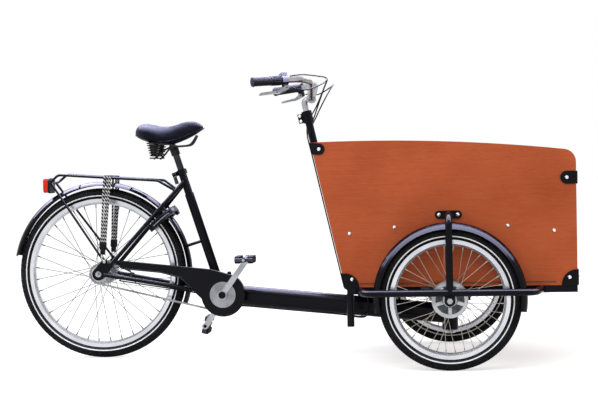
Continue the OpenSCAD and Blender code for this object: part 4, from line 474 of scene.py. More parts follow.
def laced_hub(wheel, flange_r, painted_spoke_tone):
    """Dresses a hub in cast metal that turns to drawn spoke wire outside its flanges, in a given spoke
    colour, painted pale for a highlight on the front wheels and dark for shade on the rear one.
    """
    fade = 0.001
    made = finish("cast_" + wheel + "_hub", **cast_look)
    place = add(made, "TexCoord").outputs["Object"]
    from_axle = add(made, "VectorMath", {0: place, 1: middle_of(wheel + "_tyre")}, operation="SUBTRACT")
    in_plane = add(made, "VectorMath", {0: from_axle, 1: (1, 0, 1)}, operation="MULTIPLY")
    reach = add(made, "VectorMath", {0: in_plane}, operation="LENGTH")
    overpaint(made, add(made, "MapRange", {0: reach, 1: flange_r, 2: flange_r + fade}), painted_spoke_tone)
    dress(made, wheel + "_hub")


cast_look = {"colours": ("#97999c", "#b7b9bd"), "constants": {"Metallic": 1.0},
             "blotch": 0.03, "grain": 0.0016, "rough": (0.28, 0.46), "relief": 0.0001}
# Rear spokes near black as painted shade; front spokes pale as a painted highlight
laced_hub("rear", 0.048, "#2a2825")
laced_hub("right", 0.0655, "#a29d95")
laced_hub("left", 0.0655, "#a29d95")


# Brake drum faces: five cast lobes stand in the ring-shaped recess of each front hub's outer face. A thin
# dark ring of rough cast metal on the recess floor is painted shade in the recess, while the lobes and the
# lip are machined bright.
def turned(bm, radii, length, matrix, segments=32):
    """Adds a closed cylinder or cone along the matrix's z axis."""
    bmesh.ops.create_cone(bm, cap_ends=True, segments=segments, radius1=radii[0], radius2=radii[1],
                          depth=length, matrix=matrix)


cast_hub = finish("machined_hub_aluminium", **cast_look)
# Recess floor ring: rough dark grey cast metal, darkened as painted shade in the recess
recess_shade_skin = finish(
    "recess_shade_aluminium", ("#3b3d40", "#5a5d61"), {"Metallic": 0.9}, blotch=0.02, grain=0.0012,
    rough=(0.5, 0.65), relief=0.0002)
face_out, recess, shade_ring_t, shade_ring_lift = 0.028, 0.002, 0.0003, 0.0004
inner_r, outer_r, shade_ring_steps = 0.0242, 0.0498, 64
lobes, lobe_t, lobe_w, lobe_round, first_lobe_deg = 5, 0.0046, 0.0135, 0.0016, 18
boss_at, boss_radii, boss_proud = 0.0405, (0.0088, 0.0066), 0.001
for side_name, side in sides:
    middle = middle_of(side_name + "_tyre")
    bm = bmesh.new()
    floor_y = side * (face_out - recess + shade_ring_lift)
    rim = [middle + Vector((r, floor_y, 0)) for r in (inner_r, outer_r)]
    revolve(bm, rim, middle, (0, 1, 0), shade_ring_steps)
    bmesh.ops.solidify(bm, geom=list(bm.faces), thickness=shade_ring_t)
    shade_ring_faces = len(bm.faces)
    for k in range(lobes):
        turn = Matrix.Rotation(radians(360 / lobes * k + first_lobe_deg), 4, "Y")
        at = Matrix.Translation(middle + Vector((0, side * (face_out - recess + lobe_t / 2), 0))) @ turn
        lobe_at = at @ Matrix.Translation(((inner_r + outer_r) / 2, 0, 0))
        block(bm, (outer_r - inner_r, lobe_t, lobe_w), lobe_at, lobe_round)
        boss = at @ Matrix.Translation((boss_at, side * boss_proud / 2, 0))
        turned(bm, boss_radii, lobe_t + boss_proud, boss @ Matrix.Rotation(-side * pi / 2, 4, "X"), 24)
    # The thin ring on the recess floor takes the dark material, as painted shade in the recess
    bm.faces.ensure_lookup_table()
    for face in bm.faces[:shade_ring_faces]:
        face.material_index = 1
    piece(side_name + "_drum_lobes", bm, side_name + "_wheel", [cast_hub, recess_shade_skin])

# Axles, kingpin, spindle, shackle and sprocket: turned and forged steel with their nuts screwed on.
# Zinc plate: cool grey and slightly cloudy
dress(finish(
    "zinc_plated_steel", ("#8f9398", "#b2b6bb"), {"Metallic": 1.0}, blotch=0.02, grain=0.0014,
    rough=(0.25, 0.42), relief=0.00006),
    "rear_axle", "front_axles", "kingpin", "crank_spindle", "lock_shackle", "rear_sprocket")

# Brake plates and arms, chainring and clamp lever: pressed steel, bolted on or held by the axle nuts.
# Phosphate skin: dark grey and dry
dark_steel = finish(
    "phosphated_steel", ("#26282b", "#3c3f43"), {"Metallic": 0.8}, blotch=0.03, grain=0.0014,
    rough=(0.4, 0.55), relief=0.00008)
dress(dark_steel, "rear_brake", "front_brakes", "chainring", "clamp_lever")

# Bolts: domed heads of coach bolts through the ply of the box and its brackets.
# Chrome plate: mirror bright
dress(finish(
    "chromed_steel", ("#cfd1d4", "#e4e5e8"), {"Metallic": 1.0}, blotch=0.02, grain=0.003,
    rough=(0.08, 0.16), relief=0.00002), "box_bolts")


# Chain: bush roller chain of 12.7 mm pitch. Steel side plates with a waist alternate inside and outside,
# and a roller sits on every pin.
def round_point(centre, radius, angle):
    """A point at an angle round a crosswise axis."""
    return centre + Vector((radius * cos(angle), 0, radius * sin(angle)))


def chain_pin(s):
    """The place of a pin at the length s along the chain, from the top of the chainring."""
    s %= chain_l
    if s < ring_arc:
        return round_point(crank_axis, ring_r, top_turn - s / ring_r)
    s -= ring_arc
    if s < run_l:
        leaves = round_point(crank_axis, ring_r, low_turn)
        return leaves.lerp(round_point(rear_axis, sprocket_r, low_turn), s / run_l)
    s -= run_l
    if s < sprocket_arc:
        return round_point(rear_axis, sprocket_r, low_turn - s / sprocket_r)
    s -= sprocket_arc
    leaves = round_point(rear_axis, sprocket_r, top_turn)
    return leaves.lerp(round_point(crank_axis, ring_r, top_turn), s / run_l)


ring_teeth, sprocket_teeth = 33, 18
pitch_l, chain_y = 0.0127, -0.056
plate_h, plate_t, plate_waist = 0.0084, 0.0011, 0.68
inner_y, outer_y = 0.0024, 0.0037
roller_r, roller_w, waist_slack = 0.0038, 0.0036, 0.0003
ring_r = pitch_l / 2 / sin(pi / ring_teeth)
sprocket_r = pitch_l / 2 / sin(pi / sprocket_teeth)
crank_axis, rear_axis = (middle_of(node) * Vector((1, 0, 1)) for node in ("crank_cover", "rear_tyre"))
line = crank_axis - rear_axis
line_turn = atan2(line.z, line.x)
lean_turn = asin((ring_r - sprocket_r) / line.length)
top_turn, low_turn = line_turn + lean_turn + pi / 2, line_turn - lean_turn - pi / 2
run_l = line.length * cos(lean_turn)
ring_arc = ring_r * (top_turn - low_turn)
sprocket_arc = sprocket_r * (2 * pi - top_turn + low_turn)
chain_l = ring_arc + sprocket_arc + 2 * run_l
links = 2 * round(chain_l / pitch_l / 2)
quarter_x = Matrix.Rotation(pi / 2, 4, "X")
bm = bmesh.new()
for k in range(links):
    here, there = chain_pin(k * chain_l / links), chain_pin((k + 1) * chain_l / links)
    along = there - here
    turn = Matrix.Translation(here + Vector((0, chain_y, 0)))
    turn @= Matrix.Rotation(-atan2(along.z, along.x), 4, "Y")
    turned(bm, (roller_r, roller_r), roller_w, turn @ quarter_x, 10)
    plate_y = inner_y if k % 2 else outer_y
    for side in (-1, 1):
        plate = bmesh.ops.create_circle(bm, cap_ends=True, segments=12, radius=plate_h / 2,
                                        matrix=quarter_x)["verts"]
        for v in plate:
            if abs(v.co.x) < waist_slack:
                v.co.x, v.co.z = along.length / 2, v.co.z * plate_waist
            elif v.co.x > 0:
                v.co.x += along.length
        face = plate[0].link_faces[0]
        raised = bmesh.ops.extrude_face_region(bm, geom=[face])["geom"]
        lifted = [v for v in raised if isinstance(v, bmesh.types.BMVert)]
        bmesh.ops.translate(bm, verts=lifted, vec=(0, plate_t, 0))
        bmesh.ops.reverse_faces(bm, faces=[face])
        bmesh.ops.transform(bm, verts=list(face.verts) + lifted,
                            matrix=turn @ Matrix.Translation((0, side * plate_y - plate_t / 2, 0)))
# Oiled steel: mid grey with a wet gleam
chain_steel = finish(
    "oiled_chain_steel", ("#6f6f74", "#a0a0a6"), {"Metallic": 1.0}, blotch=0.03, grain=0.0016,
    rough=(0.28, 0.5), relief=0.00008)
chain_links = piece("chain_links", bm, "rear_frame", [chain_steel])
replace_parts(chain_links, "chain")

# Cranks with their cover disc, levers, bar and stem: the cranks are keyed on the spindle, the disc is screwed
# to the right one. Forged aluminium: tumbled to a satin silver
dress(finish(
    "forged_aluminium", ("#8f9195", "#adafb4"), {"Metallic": 1.0}, blotch=0.05, grain=0.0018,
    rough=(0.26, 0.4), relief=0.00006),
    "right_crank", "left_crank", "right_lever", "left_lever", "handlebar", "stem")
# Spun sheet of the disc: a shade darker and smoother than the forgings
dress(finish(
    "spun_aluminium", ("#787a7e", "#929499"), {"Metallic": 1.0}, blotch=0.05, grain=0.0018,
    rough=(0.26, 0.4), relief=0.00004), "crank_cover")

# Crank caps: black moulded dust plugs pressed over the spindle's ends in the bosses of the cranks, and the
# dark threaded ends of the pedal pins, which show on the inner faces of the eyes.
crank_face = -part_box("right_crank")[0].y
cap_r, cap_t, cap_taper, spindle_disc = 0.0138, 0.0026, 0.0008, 0.0032
cap_border, cap_groove, groove_depth = 0.0032, 0.0008, 0.0014
pin_r, pin_t, eye_r, boss_r = 0.0065, 0.0008, 0.012, 0.018
bm = bmesh.new()
for side in (-1, 1):
    at = crank_axis + Vector((0, side * (crank_face + spindle_disc + cap_t / 2), 0))
    turned(bm, (cap_r, cap_r - cap_taper), cap_t,
           Matrix.Translation(at) @ Matrix.Rotation(-side * pi / 2, 4, "X"))
cap_face = crank_face + spindle_disc + cap_t * 0.9
outer = [f for f in bm.faces if abs(f.normal.y) > 0.9 and abs(f.calc_center_median().y) > cap_face]
bmesh.ops.inset_individual(bm, faces=outer, thickness=cap_border, depth=0)
bmesh.ops.inset_individual(bm, faces=outer, thickness=cap_groove, depth=-groove_depth)
for side, crank_node in ((-1, "right_crank"), (1, "left_crank")):
    low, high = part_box(crank_node)
    eye_x = high.x - eye_r if high.x - crank_axis.x > boss_r + eye_r else low.x + eye_r
    eye_z = high.z - eye_r if high.z - crank_axis.z > boss_r + eye_r else low.z + eye_r
    at = Vector((eye_x, side * (min(abs(low.y), abs(high.y)) - pin_t / 2), eye_z))
    turned(bm, (pin_r, pin_r), pin_t, Matrix.Translation(at) @ quarter_x, 24)
piece("crank_caps", bm, "crankset", [moulded_abs])

# Pedals: two grooved rubber blocks between pressed steel end plates, round a barrel that turns on the
# spindle. They are screwed into the cranks. Moulded rubber: black and dry
pedal_rubber = finish(
    "moulded_pedal_rubber", ("#0f0f11", "#1b1b1e"), {"IOR": 1.52, "Specular IOR Level": 0.06}, blotch=0.04,
    grain=0.002, rough=(0.5, 0.7), relief=0.0001)
pedal_near, pedal_l, pedal_w, pedal_t = 0.1038, 0.092, 0.068, 0.026
tread_w, plate_l, barrel_radii = 0.020, 0.005, (0.0098, 0.0088)
ribs, rib_share, groove_w, groove_t = 9, 0.68, 0.003, 0.004
rib_step = (pedal_l - 2 * plate_l) / ribs
plate_round, tread_round, rib_round = 0.0016, 0.002, 0.0014
crank_l, crank_turn = 0.170, radians(54)
for side_name, side, turn_deg in (("right", -1, 0), ("left", 1, 75)):
    spindle = round_point(crank_axis, crank_l, crank_turn if side < 0 else crank_turn + pi)
    stand = Matrix(((1, 0, 0), (0, 0, side), (0, 1, 0))).to_4x4()
    stand = Matrix.Translation(spindle) @ stand @ Matrix.Rotation(radians(turn_deg), 4, "Z")
    pedal_mid = pedal_near + pedal_l / 2
    bm = bmesh.new()
    turned(bm, barrel_radii, pedal_l, stand @ Matrix.Translation((0, 0, pedal_mid)), 28)
    for end in (pedal_near + plate_l / 2, pedal_near + pedal_l - plate_l / 2):
        block(bm, (pedal_w, pedal_t / 2, plate_l), stand @ Matrix.Translation((0, 0, end)), plate_round)
    steel_faces = len(bm.faces)
    for fore in (-1, 1):
        at = stand @ Matrix.Translation((fore * (pedal_w - tread_w) / 2, 0, pedal_mid))
        block(bm, (tread_w - groove_w, pedal_t - groove_t, pedal_l - 2 * plate_l), at, tread_round)
        for k in range(ribs):
            rib_at = at @ Matrix.Translation((0, 0, (k - (ribs - 1) / 2) * rib_step))
            block(bm, (tread_w, pedal_t, rib_step * rib_share), rib_at, rib_round, 1)
    bm.faces.ensure_lookup_table()
    for face in bm.faces[:steel_faces]:
        face.material_index = 1
    pedal = piece(side_name + "_pedal_blocks", bm, side_name + "_pedal", [pedal_rubber, dark_steel])
    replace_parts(pedal, side_name + "_pedal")


# Tail lamp: a black housing screwed to the carrier's rear bar, with a red acrylic lens whose rear face is
# moulded in small prisms.
def lamp_body(x, depth, width, height):
    """A rounded upright slab with soft edges on its rear face."""
    bm = bmesh.new()
    matrix = Matrix.Translation((x, lamp_mid.y, lamp_mid.z)) @ Matrix.Diagonal((depth, width, height, 1))
    bmesh.ops.create_cube(bm, size=1.0, matrix=matrix)
    soften(bm, [e for e in bm.edges if abs(e.verts[0].co.x - e.verts[1].co.x) > depth / 2], corner_r, 6)
    rear = min(bm.faces, key=lambda f: f.calc_center_median().x)
    soften(bm, list(rear.edges), lamp_round)
    return bm


# Acrylic: clear strong red, with a faint painted glow from its emission in place of light passing through the
# lens
red_lens = finish(
    "red_acrylic_lens", ("#c41f0c", "#dc3116"),
    {"IOR": 1.49, "Specular IOR Level": 0.1, "Coat Weight": 0.08, "Coat Roughness": 0.05,
     # The faint emission is a painted glow
     "Emission Color": linear("#dc3116"), "Emission Strength": 0.1},
    blotch=0.03, grain=0.004, rough=(0.1, 0.18), relief=0.00002)
low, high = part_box("tail_lamp")
lamp_mid = middle_of("tail_lamp")
lamp_w, lamp_h = high.y - low.y, high.z - low.z
lens_t, housing_t, lens_margin = 0.0205, 0.0075, 0.002
corner_r, lamp_round = 0.012, 0.002
prism_rows, prism_columns, prism_share = 7, 10, 0.8
prism_h, prism_radii, prism_proud, prism_sunk = 0.0014, (0.0037, 0.0004), 0.0012, 0.0005
piece("lamp_housing", lamp_body(high.x - housing_t / 2, housing_t, lamp_w, lamp_h), "rear_frame",
      [moulded_abs])
lens_x, lens_depth = low.x + lens_t / 2 + prism_proud, lens_t - prism_proud
lens_w, lens_h = lamp_w - 2 * lens_margin, lamp_h - 2 * lens_margin
bm = lamp_body(lens_x, lens_depth, lens_w, lens_h)
prism_turn = Matrix.Rotation(-pi / 2, 4, "Y") @ Matrix.Rotation(pi / 4, 4, "Z")
for i in range(prism_rows * prism_columns):
    y = lamp_mid.y + ((i % prism_columns + 0.5) / prism_columns - 0.5) * lens_w * prism_share
    z = lamp_mid.z + ((i // prism_columns + 0.5) / prism_rows - 0.5) * lens_h * prism_share
    at = Matrix.Translation((lens_x - lens_depth / 2 - prism_sunk, y, z))
    turned(bm, prism_radii, prism_h, at @ prism_turn, 4)
lens = piece("lamp_lens", bm, "rear_frame", [red_lens])
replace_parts(lens, "tail_lamp")


# Carrier straps: three woven elastic bands with black and white slanting stripes on each side, stretched
# over the carrier's rails and sewn at their feet into a plastic holder with a wire hook on the axle eye.
def loft(bm, rings):
    """Extrudes the first ring of points through the others and closes the ends. Returns their vertices."""
    count = len(rings[0])
    verts = [bm.verts.new(p) for p in rings[0]]
    edges = first = [bm.edges.new((verts[i], verts[(i + 1) % count])) for i in range(count)]
    every = [verts]
    for ring in rings[1:]:
        fresh = bmesh.ops.extrude_edge_only(bm, edges=edges)["geom"]
        new_verts = {v for v in fresh if isinstance(v, bmesh.types.BMVert)}
        verts = [next(e.other_vert(v) for e in v.link_edges if e.other_vert(v) in new_verts) for v in verts]
        for v, p in zip(verts, ring):
            v.co = p
        edges = [bm.edges.get((verts[i], verts[(i + 1) % count])) for i in range(count)]
        every.append(verts)
    for end in (first, edges):
        bmesh.ops.edgeloop_fill(bm, edges=end)
    return every


def flattened(value, power):
    """A cosine or sine whose circle is squared off by the power."""
    return copysign(abs(value) ** power, value)


def wave(owner, measure, length):
    """A sine along a measure, which repeats at the length."""
    turns = add(owner, "Math", {0: measure, 1: 2 * pi / length}, operation="MULTIPLY")
    return add(owner, "Math", {0: turns}, operation="SINE")


strap_x, strap_z, strap_lean = -0.692275, 0.4485, radians(4.4)
rail_y, rail_rise, foot_y, rail_bend = 0.058, 0.2447, 0.0813, 0.0071
band_w, band_t, band_sides, band_slack = 0.0085, 0.0030, 12, 0.0018
side_steps, bend_step_deg, bend_steps = 14, 15, 6
lean = Matrix.Translation((strap_x, 0, strap_z)) @ Matrix.Rotation(strap_lean, 4, "Y")
half_path = [(foot_y + (rail_y + rail_bend - foot_y) * k / side_steps, rail_rise * k / side_steps)
             for k in range(side_steps + 1)]
half_path += [(rail_y + rail_bend * cos(a), rail_rise + rail_bend * sin(a))
              for a in (radians(bend_step_deg * k) for k in range(1, bend_steps + 1))]
strap_path = half_path + [(-y, z) for y, z in reversed(half_path)]
band_turns = [2 * pi * k / band_sides for k in range(band_sides)]
bm = bmesh.new()
stripe_map = bm.loops.layers.uv.new("along_band")
for spread_top, spread_foot in ((-0.0125, -0.0075), (0.0005, 0.0), (0.0098, 0.0078)):
    rings, lengths, travelled = [], [], 0.0
    for i, (y, z) in enumerate(strap_path):
        before, after = strap_path[max(i - 1, 0)], strap_path[min(i + 1, len(strap_path) - 1)]
        flow = Vector((0, after[0] - before[0], after[1] - before[1])).normalized()
        outward = Vector((0, flow.z, -flow.y))
        rise = min(z / rail_rise, 1.0)
        slack = band_slack * sin(pi * rise)
        middle = Vector((spread_foot + (spread_top - spread_foot) * rise, y, z)) + outward * slack
        if rings:
            travelled += dist(strap_path[i - 1], (y, z))
        rings.append([lean @ (middle + Vector((band_w / 2 * flattened(cos(a), 0.6), 0, 0))
                              + outward * band_t / 2 * flattened(sin(a), 0.8)) for a in band_turns])
        lengths.append(travelled)
    made = loft(bm, rings)
    place_of = {v: (k, lengths[i]) for i, ring in enumerate(made) for k, v in enumerate(ring)}
    for face in {f for ring in made for v in ring for f in v.link_faces}:
        for corner in face.loops:
            k, run = place_of[corner.vert]
            corner[stripe_map].uv = (band_w / 2 * cos(band_turns[k]), run)
# Woven elastic: matt black and white threads in slanting stripes about 13 mm apart, with a rib every
# millimetre. The edges of the stripes are drawn harder than real, so that they show.
stripe_pitch, stripe_slant, rib_pitch, rib_relief = 0.0135, -1.1, 0.0011, 0.0003
white_from, white_to = 0.38, 0.6
elastic, weave = shaded("woven_striped_elastic", {"Roughness": 0.85, "Sheen Weight": 0.25})
band = add(elastic, "SeparateXYZ", {0: add(elastic, "UVMap", uv_map="along_band")}).outputs
slant = add(elastic, "Math", {0: band[0], 1: stripe_slant, 2: band[1]}, operation="MULTIPLY_ADD")
edge = add(elastic, "MapRange", {0: wave(elastic, slant, stripe_pitch), 1: white_from, 2: white_to})
add(elastic, "Mix", {0: edge, 6: linear("#060608"), 7: linear("#e2e1e4")}, into=weave["Base Color"],
    data_type="RGBA")
rib = wave(elastic, band[1], rib_pitch)
add(elastic, "Bump", {"Height": rib, "Strength": 0.6, "Distance": rib_relief}, into=weave["Normal"])
straps = piece("carrier_bands", bm, "rear_frame", [elastic], 60)
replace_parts(straps, "carrier_straps")
# Drawn wire under clear lacquer: bright, with a thin hard gleam
hook_wire = finish(
    "clear_coated_wire", ("#c4c6c9", "#e2e3e5"), {"Metallic": 0.9}, blotch=0.02, grain=0.002,
    rough=(0.15, 0.3), relief=0.00003)
hook_d, hook_x, hook_top, eye_x, eye_z = 0.0032, strap_x * 1000, strap_z * 1000 - 44, -691.275, 374.5
for side_name, side in sides:
    bm = bmesh.new()
    for holder_size, holder_z, holder_round in (((0.027, 0.0075, 0.030), -0.013, 0.0028),
                                                ((0.020, 0.0070, 0.022), -0.036, 0.0030)):
        block(bm, holder_size, lean @ Matrix.Translation((0, side * foot_y, holder_z)), holder_round)
    piece(side_name + "_strap_holder", bm, "rear_frame", [moulded_abs])
    hook = [(x, side * foot_y * 1000, z) for x, z in (
        (hook_x - 8, hook_top), (hook_x - 9, hook_top - 14), (eye_x - 6, eye_z + 8), (eye_x + 2, eye_z + 6),
        (hook_x + 9, hook_top - 14), (hook_x + 7, hook_top))]
    wire(side_name + "_strap_hook", smooth_route(hook, 8), hook_d, "rear_frame", hook_wire)

# Ring lock: a boxy die-cast ring in a black plastic shell round the rear wheel, bolted to the seat stays.
# Its steel shackle slides out of it through the spokes.
dress(moulded_abs, "ring_lock")

# Seat post: a drawn steel tube that slides in the seat tube and is clamped there by a quick-release ring.
# Satin steel: dark grey with a soft long highlight
dress(finish(
    "satin_grey_steel", ("#232427", "#36383c"), {"Metallic": 0.9}, blotch=0.05, grain=0.0018,
    rough=(0.3, 0.42), relief=0.00005), "seat_post")


# Saddle: moulded foam under a tight black vinyl skin, wide at the rear with a narrow rising nose. The
# skin is turned under a moulded base, with a welded piping along the lower edge.
def saddle_half(s):
    """Share of the full half width along the saddle, from its rear edge to its nose."""
    if s < 0.25:
        return sqrt(max(1 - ((0.25 - s) / 0.25) ** 2, 0))
    if s < 0.68:
        return 0.635 + 0.365 * cos((s - 0.25) / 0.43 * pi)
    if s < 0.92:
        return 0.27 - 0.02 * (s - 0.68) / 0.24
    return 0.25 * sqrt(max(1 - ((s - 0.92) / 0.08) ** 2, 0))


def saddle_low(s):
    """Height of the lower edge along the saddle."""
    if s < 0.46:
        return 0.034 * ((0.46 - s) / 0.46) ** 2.2
    return 0.056 * ((s - 0.46) / 0.54) ** 1.5


def saddle_top(s):
    """Height of the crown along the saddle: a rear hump, a dip and a raised nose."""
    if s < 0.12:
        share = 0.99 - 0.35 * ((0.12 - s) / 0.12) ** 2
    elif s < 0.46:
        share = 0.90 + 0.09 * cos((s - 0.12) / 0.34 * pi)
    elif s < 0.85:
        share = 0.945 - 0.135 * cos((s - 0.46) / 0.39 * pi)
    else:
        share = 1.08 - 0.26 * ((s - 0.85) / 0.15) ** 2
    return saddle_rise * share


def saddle_point(s, a):
    """A point of the skin at the share s of the length and the angle a round the section."""
    half = max(saddle_half(s) * saddle_w / 2, least_half)
    bottom, top = saddle_low(s), saddle_top(s)
    middle = bottom + 0.5 * (top - bottom)
    sine, cosine = sin(a), cos(a)
    channel, tuck = 0, 1
    if sine > 0:
        height = middle + (top - middle) * sine ** 0.85
        channel = channel_depth * exp(-((cosine / 0.16) ** 2)) * exp(-(((s - 0.24) / 0.2) ** 2))
    else:
        height = middle - (middle - bottom) * (-sine) ** 0.5
        tuck = 1 + 0.14 * sine
    sideways = flattened(cosine, 0.75) * half * tuck
    return Vector((saddle_x + s * saddle_l, sideways, saddle_z + height - channel))


saddle_l, saddle_w, saddle_rise, saddle_z = 0.264, 0.206, 0.079, 0.815
saddle_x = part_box("saddle")[0].x
saddle_rows, saddle_ring, least_half, channel_depth = 34, 32, 0.003, 0.004
base_from = -0.6
voxel, pressure, press_steps, most_swell = 0.005, 4, 20, 0.004
piping_d, piping_deg = 0.0032, (-28, 208)
stations = [0.004 + 0.992 * (0.5 - 0.5 * cos(pi * i / saddle_rows)) for i in range(saddle_rows + 1)]
bm = bmesh.new()
loft(bm, [[saddle_point(s, 2 * pi * k / saddle_ring) for k in range(saddle_ring)] for s in stations])
bmesh.ops.recalc_face_normals(bm, faces=bm.faces)
for face in bm.faces:
    face.normal_update()
    if face.normal.z < base_from:
        face.material_index = 1
# Embossed vinyl: soft black with a leather grain about 2 mm across and a cool, broad sheen
saddle_vinyl = finish(
    "embossed_black_vinyl", ("#0e0f14", "#171922"),
    {"IOR": 1.5, "Sheen Weight": 0.04, "Sheen Roughness": 0.4, "Specular IOR Level": 0.04}, blotch=0.05,
    grain=0.0022, rough=(0.4, 0.54), relief=0.00016)
saddle_skin = piece("saddle_skin", bm, "seat", [saddle_vinyl, moulded_abs], 80)
# The foam presses the skin outwards until it is tight, by a few millimetres
even = saddle_skin.modifiers.new("even_skin", "REMESH")
even.mode = "VOXEL"
even.voxel_size = voxel
saddle_skin.data = bpy.data.meshes.new_from_object(evaluated(saddle_skin))
saddle_skin.modifiers.clear()
slack = [v.co.copy() for v in saddle_skin.data.vertices]
foam = saddle_skin.modifiers.new("foam_pressure", "CLOTH")
foam.settings.use_pressure = True
foam.settings.uniform_pressure_force = pressure
foam.settings.effector_weights.gravity = 0
for step in range(1, press_steps + 1):
    scene.frame_set(step)
tight = [v.co.copy() for v in evaluated(saddle_skin).to_mesh().vertices]
saddle_skin.modifiers.clear()
scene.frame_set(1)
for v, before, after in zip(saddle_skin.data.vertices, slack, tight):
    move = after - before
    v.co = before + move * min(1, most_swell / max(move.length, 1e-9))
for face in saddle_skin.data.polygons:
    face.material_index = 1 if face.normal.z < base_from else 0
    face.use_smooth = True
round_off = saddle_skin.modifiers.new("round_off", "SUBSURF")
round_off.levels = round_off.render_levels = 1
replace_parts(saddle_skin, "saddle")
right_row, left_row = ([saddle_point(s, radians(a)) for s in stations] for a in piping_deg)
piping = right_row + left_row[::-1] + right_row[:1]
wire("saddle_piping", piping, piping_d, "seat", saddle_vinyl)


# Saddle springs and rails: two conical coils of 4 mm wire carry the rear, and two bent rails run forward
# to the nose through a clamp on the post. All are black oxide steel.
def soften_rims(bm, least_turn, rounding):
    """Rounds off the edges where a mesh turns by more than an angle in radians."""
    rims = [e for e in bm.edges if len(e.link_faces) == 2 and e.calc_face_angle() > least_turn]
    soften(bm, rims, rounding)


# Black oxide: nearly black with an oily grey gleam
black_oxide = finish(
    "black_oxide_steel", ("#0f1012", "#212327"), {"Metallic": 0.7}, blotch=0.03, grain=0.0016,
    rough=(0.3, 0.48), relief=0.00008)
spring_x, spring_y = -0.494275, 0.057
spring_foot, spring_low, spring_top = 0.760, 0.7693, 0.8157
spring_turns, turn_steps, spring_lead = 5, 28, Vector((0, 0, 0.005))
low_r, top_r, spring_wire, rail_d, cup_round, clamp_round = 0.013, 0.024, 0.0044, 0.007, 0.0012, 0.001
buffer_z, buffer_h = (spring_low + spring_top) / 2, spring_top - spring_low
spring_cups = ((spring_foot + 0.003, (0.0165, 0.0165), 0.005), (spring_top + 0.0035, (0.0265, 0.0265), 0.005),
               (buffer_z, (0.0085, 0.0178), buffer_h))
rail_points = [(-337.3, 10, 846), (-350, 17, 824), (-365.3, 20, 810), (-398, 21.5, 806.5), (-429.3, 22, 805),
               (-452, 28, 796), (-473, 43, 776), (-494.3, 57, 759.5)]
spring_pieces = []
for side_name, side in sides:
    coil = []
    for i in range(spring_turns * turn_steps + 1):
        t = i / (spring_turns * turn_steps)
        a, r = 2 * pi * spring_turns * t, low_r + (top_r - low_r) * t
        coil.append(Vector((spring_x + r * cos(a), side * (spring_y + r * sin(a)),
                            spring_low + (spring_top - spring_low) * t)))
    coil = [coil[0] - spring_lead] + coil + [coil[-1] + spring_lead]
    spring_pieces.append(wire(side_name + "_coil", coil, spring_wire, "seat", black_oxide))
    rail = smooth_route([(x, side * y, z) for x, y, z in rail_points], 8)
    wire(side_name + "_rail", rail, rail_d, "seat", black_oxide)
    bm = bmesh.new()
    for cup_z, cup_radii, cup_h in spring_cups:
        turned(bm, cup_radii, cup_h, Matrix.Translation((spring_x, side * spring_y, cup_z)))
    soften_rims(bm, 1, cup_round)
    piece(side_name + "_spring_cups", bm, "seat", [black_oxide])
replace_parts(spring_pieces[0], "saddle_springs")
seat_lean = radians(72.5)
post_up = Vector((-cos(seat_lean), 0, sin(seat_lean)))
post_top, clamp_drop = Vector((-0.426059, 0, 0.792)), 0.0055
clamp_r, clamp_h, cross_r, cross_l, nut_r, nut_t, nut_out = 0.017, 0.029, 0.010, 0.058, 0.0072, 0.006, 0.031
crosswise = Matrix.Translation((-0.430473, 0, 0.806)) @ quarter_x
bm = bmesh.new()
turned(bm, (clamp_r, clamp_r), clamp_h, Matrix.Translation(post_top - post_up * clamp_drop)
       @ post_up.to_track_quat("Z", "Y").to_matrix().to_4x4())
turned(bm, (cross_r, cross_r), cross_l, crosswise)
for side in (-1, 1):
    turned(bm, (nut_r, nut_r), nut_t, crosswise @ Matrix.Translation((0, 0, side * nut_out)), 6)
soften_rims(bm, 1.2, clamp_round)
piece("saddle_clamp", bm, "seat", [black_oxide])


